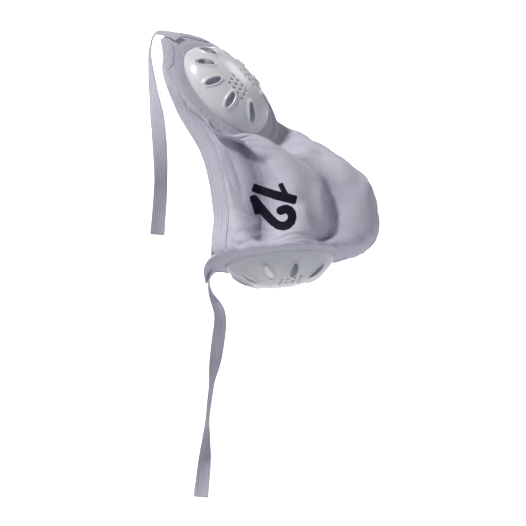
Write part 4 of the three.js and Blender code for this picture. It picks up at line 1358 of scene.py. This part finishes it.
def tapeMaterial(name):
    material, tree = newMaterial(name)
    place = addNode(tree, "UVMap", {"uv_map": "clothMm"})
    across, along, _ = addNode(tree, "SeparateXYZ", Vector=place).outputs
    # a twill: the weft steps sideways by half a rib at each pick
    step = addNode(tree, "Math", {"operation": "MULTIPLY_ADD"}, i0=across, i1=tapeWeave["twill"], i2=along)
    weave = crossedThreads(tree, tapeWeave, across, step)
    body = addNode(tree, "TexCoord").outputs["Object"]
    blotch = addNode(tree, "TexNoise", Vector=body, Scale=45.0, Detail=4.0, Roughness=0.6)
    crush = addNode(tree, "TexNoise", Vector=body, Scale=160.0, Detail=3.0, Roughness=0.6)
    tint = addNode(tree, "Mix", {"data_type": "RGBA"}, Factor=blotch, i6=linearColour(tapeWeave["shade"]),
                   i7=linearColour(tapeWeave["white"]))
    # painted shade: where the weave sinks, the colour is mixed toward the groove grey, standing in for the
    # shade between the ribs
    sunk = addNode(tree, "MapRange", Value=weave, From_Min=-1.0, From_Max=0.2, To_Min=0.45, To_Max=0.0)
    colour = addNode(tree, "Mix", {"data_type": "RGBA"}, Factor=sunk, i6=tint.outputs[2],
                     i7=linearColour(tapeWeave["groove"]))
    rough = addNode(tree, "MapRange", Value=crush, To_Min=tapeWeave["roughness"] - 0.08,
                    To_Max=tapeWeave["roughness"] + 0.08)
    finishCloth(tree, tapeWeave, colour.outputs[2], rough, crush, weave)
    return material


# Polypropylene, injection moulded: soft gloss, milky, with light scuffs that break the highlights.
polypropylene = {
    "clear": "#F3F5F7", "deep": "#E6E9EE", "scuff": "#D2D4DB",
    "roughness": 0.26, "scatter": 0.35, "scatterDepth": 0.0035, "ior": 1.49,
}


def guardMaterial(name):
    material, tree = newMaterial(name)
    body = addNode(tree, "TexCoord").outputs["Object"]
    flow = addNode(tree, "TexNoise", Vector=body, Scale=34.0, Detail=3.0, Roughness=0.5)
    skin = addNode(tree, "TexNoise", Vector=body, Scale=420.0, Detail=2.0)
    drawnOut = addNode(tree, "Mapping", Vector=body, Rotation=(0.4, 0.7, 0.2), Scale=(60, 900, 200))
    scratch = addNode(tree, "TexNoise", Vector=drawnOut, Scale=1.0, Detail=2.0)
    scuffed = addNode(tree, "MapRange", Value=scratch, From_Min=0.6, From_Max=0.78, To_Min=0.0, To_Max=0.5)
    base = addNode(tree, "Mix", {"data_type": "RGBA"}, Factor=flow, i6=linearColour(polypropylene["deep"]),
                   i7=linearColour(polypropylene["clear"]))
    colour = addNode(tree, "Mix", {"data_type": "RGBA"}, Factor=scuffed, i6=base.outputs[2],
                     i7=linearColour(polypropylene["scuff"]))
    polish = addNode(tree, "MapRange", Value=flow, To_Min=polypropylene["roughness"] - 0.05,
                     To_Max=polypropylene["roughness"] + 0.1)
    rough = addNode(tree, "Math", {"operation": "MULTIPLY_ADD"}, i0=scuffed, i1=0.35, i2=polish)
    ripple = addNode(tree, "Bump", Height=flow, Strength=0.25, Distance=0.0006)
    grain = addNode(tree, "Bump", Height=skin, Strength=0.12, Distance=0.0001, Normal=ripple)
    shader = addNode(tree, "BsdfPrincipled", Base_Color=colour.outputs[2], Roughness=rough, Normal=grain,
                     IOR=polypropylene["ior"], Subsurface_Weight=polypropylene["scatter"],
                     Subsurface_Radius=(1.0, 1.0, 1.1), Subsurface_Scale=polypropylene["scatterDepth"])
    addNode(tree, "OutputMaterial", Surface=shader)
    return material


# Polyester sewing thread, twisted: a soft shine on each stitch, and painted shade between its plies.
sewingThread = {"light": "#E9E8EF", "dark": "#B9B6C8", "roughness": 0.55, "sheen": 0.2}


def threadMaterial(name):
    material, tree = newMaterial(name)
    body = addNode(tree, "TexCoord").outputs["Object"]
    ply = addNode(tree, "TexWave", {"bands_direction": "DIAGONAL"}, Vector=body, Scale=900.0, Distortion=1.5)
    ply = ply.outputs["Fac"]
    # painted shade: the twist's bands are mixed between light and dark, standing in for the shade in the
    # grooves between the plies
    colour = addNode(tree, "Mix", {"data_type": "RGBA"}, Factor=ply, i6=linearColour(sewingThread["dark"]),
                     i7=linearColour(sewingThread["light"]))
    relief = addNode(tree, "Bump", Height=ply, Strength=0.4, Distance=0.0001)
    shader = addNode(tree, "BsdfPrincipled", Base_Color=colour.outputs[2], Normal=relief,
                     Roughness=sewingThread["roughness"], Sheen_Weight=sewingThread["sheen"])
    addNode(tree, "OutputMaterial", Surface=shader)
    return material


knitPrinted = tricotMaterial("polyester_tricot_printed", True)
knitPlain = tricotMaterial("polyester_tricot_bleached", False)
tapeWoven = tapeMaterial("cotton_tape_woven")
guardMoulded = guardMaterial("polypropylene_moulded")
threadTwisted = threadMaterial("polyester_thread_twisted")

pieces = [
    (centrePanel, knitPrinted, "cloth", ["centre_panel"]),
    (upperPanel, knitPlain, "cloth", ["upper_side_panel"]),
    (lowerPanel, knitPlain, "cloth", ["lower_side_panel"]),
    (upperSeam, knitPlain, "cloth", []),
    (lowerSeam, knitPlain, "cloth", []),
    (upperGuard, guardMoulded, "guard_plastic", ["upper_ear_guard"]),
    (lowerGuard, guardMoulded, "guard_plastic", ["lower_ear_guard"]),
    (frontBinding, tapeWoven, "tape", ["front_binding"]),
    (neckBinding, tapeWoven, "tape", ["neck_binding"]),
    (upperTie, tapeWoven, "tape", ["upper_tie_tape"]),
    (lowerTie, tapeWoven, "tape", ["lower_tie_tape"]),
    (bindingThread, threadTwisted, "tape", []),
    (seamThread, threadTwisted, "tape", []),
    (guardThread, threadTwisted, "tape", []),
    (tieThread, threadTwisted, "tape", []),
]
for piece, material, slotName, nodes in pieces:
    piece.data.materials.clear()
    piece.data.materials.append(material)
    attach(piece, "root")
    if nodes:
        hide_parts(*nodes)
print("cap: materials on", len(pieces), "pieces")


# The studio: a pale sweep, a soft key from the upper left, and faint lights from the right and behind.
studio = {
    "floor": -0.95, "sweepStart": 2.3, "sweepRadius": 1.0, "height": 6.0, "half": 30.0, "nearEdge": -30.0,
    "paper": "#D8D8DC", "paperShade": "#D3D3D8", "paperGlow": 0.03, "bendSteps": 12,
    "air": "#E6E8F5", "wallLight": 0.24, "ceilingLight": 0.05,
}
lamps = [
    {"name": "fill_softbox", "at": (1.6, -1.5, 0.0), "size": 1.4, "power": 2, "colour": "#EEF0FF"},
    {"name": "rim_softbox", "at": (1.3, 0.75, 1.5), "size": 0.6, "power": 7, "colour": "#FFFFFF"},
    {"name": "backdrop_softbox", "at": (0.0, 1.7, 1.7), "aim": (0.0, 3.3, -0.2), "size": 1.6, "power": 60,
     "colour": "#FFFFFF", "spread": 110},
]
keyLamp = {
    "name": "key_softbox", "from": (-0.56, -0.46, 0.72), "power": 2.35, "width": 7, "colour": "#FFFEFC",
}


def paperSweep():
    profile = [(studio["nearEdge"], 0.0), (studio["sweepStart"], 0.0)]
    for k in range(1, studio["bendSteps"] + 1):
        turn = k / studio["bendSteps"] * math.pi / 2
        profile.append((studio["sweepStart"] + studio["sweepRadius"] * math.sin(turn),
                        studio["sweepRadius"] * (1 - math.cos(turn))))
    profile.append((profile[-1][0], studio["height"]))
    verts = [(x * 1000, y * 1000, (studio["floor"] + z) * 1000)
             for x in (-studio["half"], studio["half"]) for y, z in profile]
    size = len(profile)
    faces = [(k, k + 1, size + k + 1, size + k) for k in range(size - 1)]
    obj = makeObject("paper_sweep", np.array(verts), faces)
    material, tree = newMaterial("matt_paper")
    body = addNode(tree, "TexCoord").outputs["Object"]
    fibre = addNode(tree, "TexNoise", Vector=body, Scale=9.0, Detail=4.0)
    colour = addNode(tree, "Mix", {"data_type": "RGBA"}, Factor=fibre, i6=linearColour(studio["paperShade"]),
                     i7=linearColour(studio["paper"]))
    shader = addNode(tree, "BsdfPrincipled", Base_Color=colour.outputs[2], Roughness=0.9,
                     Emission_Color=(1.0, 1.0, 1.0, 1.0), Emission_Strength=studio["paperGlow"])
    addNode(tree, "OutputMaterial", Surface=shader)
    obj.data.materials.append(material)


def hangLight(light, place, way):
    obj = bpy.data.objects.new(light.name, light)
    obj.location = place
    obj.rotation_mode = "QUATERNION"
    obj.rotation_quaternion = way
    bpy.context.scene.collection.objects.link(obj)


paperSweep()
capMiddle = Vector((0.05, 0.0, -0.17))
for lamp in lamps:
    light = bpy.data.lights.new(lamp["name"], "AREA")
    light.shape = "DISK"
    light.size = lamp["size"]
    light.energy = lamp["power"]
    light.spread = math.radians(lamp.get("spread", 180))
    light.color = linearColour(lamp["colour"])[:3]
    way = Vector(lamp.get("aim", capMiddle)) - Vector(lamp["at"])
    hangLight(light, lamp["at"], way.to_track_quat("-Z", "Y"))
key = bpy.data.lights.new(keyLamp["name"], "SUN")
key.energy = keyLamp["power"]
key.angle = math.radians(keyLamp["width"])
key.color = linearColour(keyLamp["colour"])[:3]
hangLight(key, (0, 0, 0), Vector(keyLamp["from"]).to_track_quat("Z", "Y"))

world = bpy.data.worlds.new("studio_air")
world.use_nodes = True
air = world.node_tree
upwards = addNode(air, "SeparateXYZ", Vector=addNode(air, "TexCoord").outputs["Generated"]).outputs[2]
wallToCeiling = addNode(air, "MapRange", {"interpolation_type": "SMOOTHSTEP"}, Value=upwards, From_Min=0.02,
                        From_Max=0.3, To_Min=studio["wallLight"], To_Max=studio["ceilingLight"])
air.nodes["Background"].inputs["Color"].default_value = linearColour(studio["air"])
air.links.new(wallToCeiling.outputs[0], air.nodes["Background"].inputs["Strength"])
bpy.context.scene.world = world
bpy.context.scene.view_settings.view_transform = "Standard"  # keeps the cloth's whites white

# The camera looks level along +Y, as the cap is seen, from far enough for little perspective.
view = {"aim": (0.051, -0.198), "away": 1.9, "frameHeight": 0.49, "sensor": 36}
camera = bpy.data.cameras.new("camera")
camera.sensor_width = view["sensor"]
camera.lens = view["sensor"] * view["away"] / view["frameHeight"]
cameraObject = bpy.data.objects.new("camera", camera)
cameraObject.location = (view["aim"][0], -view["away"], view["aim"][1])
cameraObject.rotation_euler = (math.pi / 2, 0, 0)
bpy.context.scene.collection.objects.link(cameraObject)
bpy.context.scene.camera = cameraObject
print("cap: camera and lights placed")
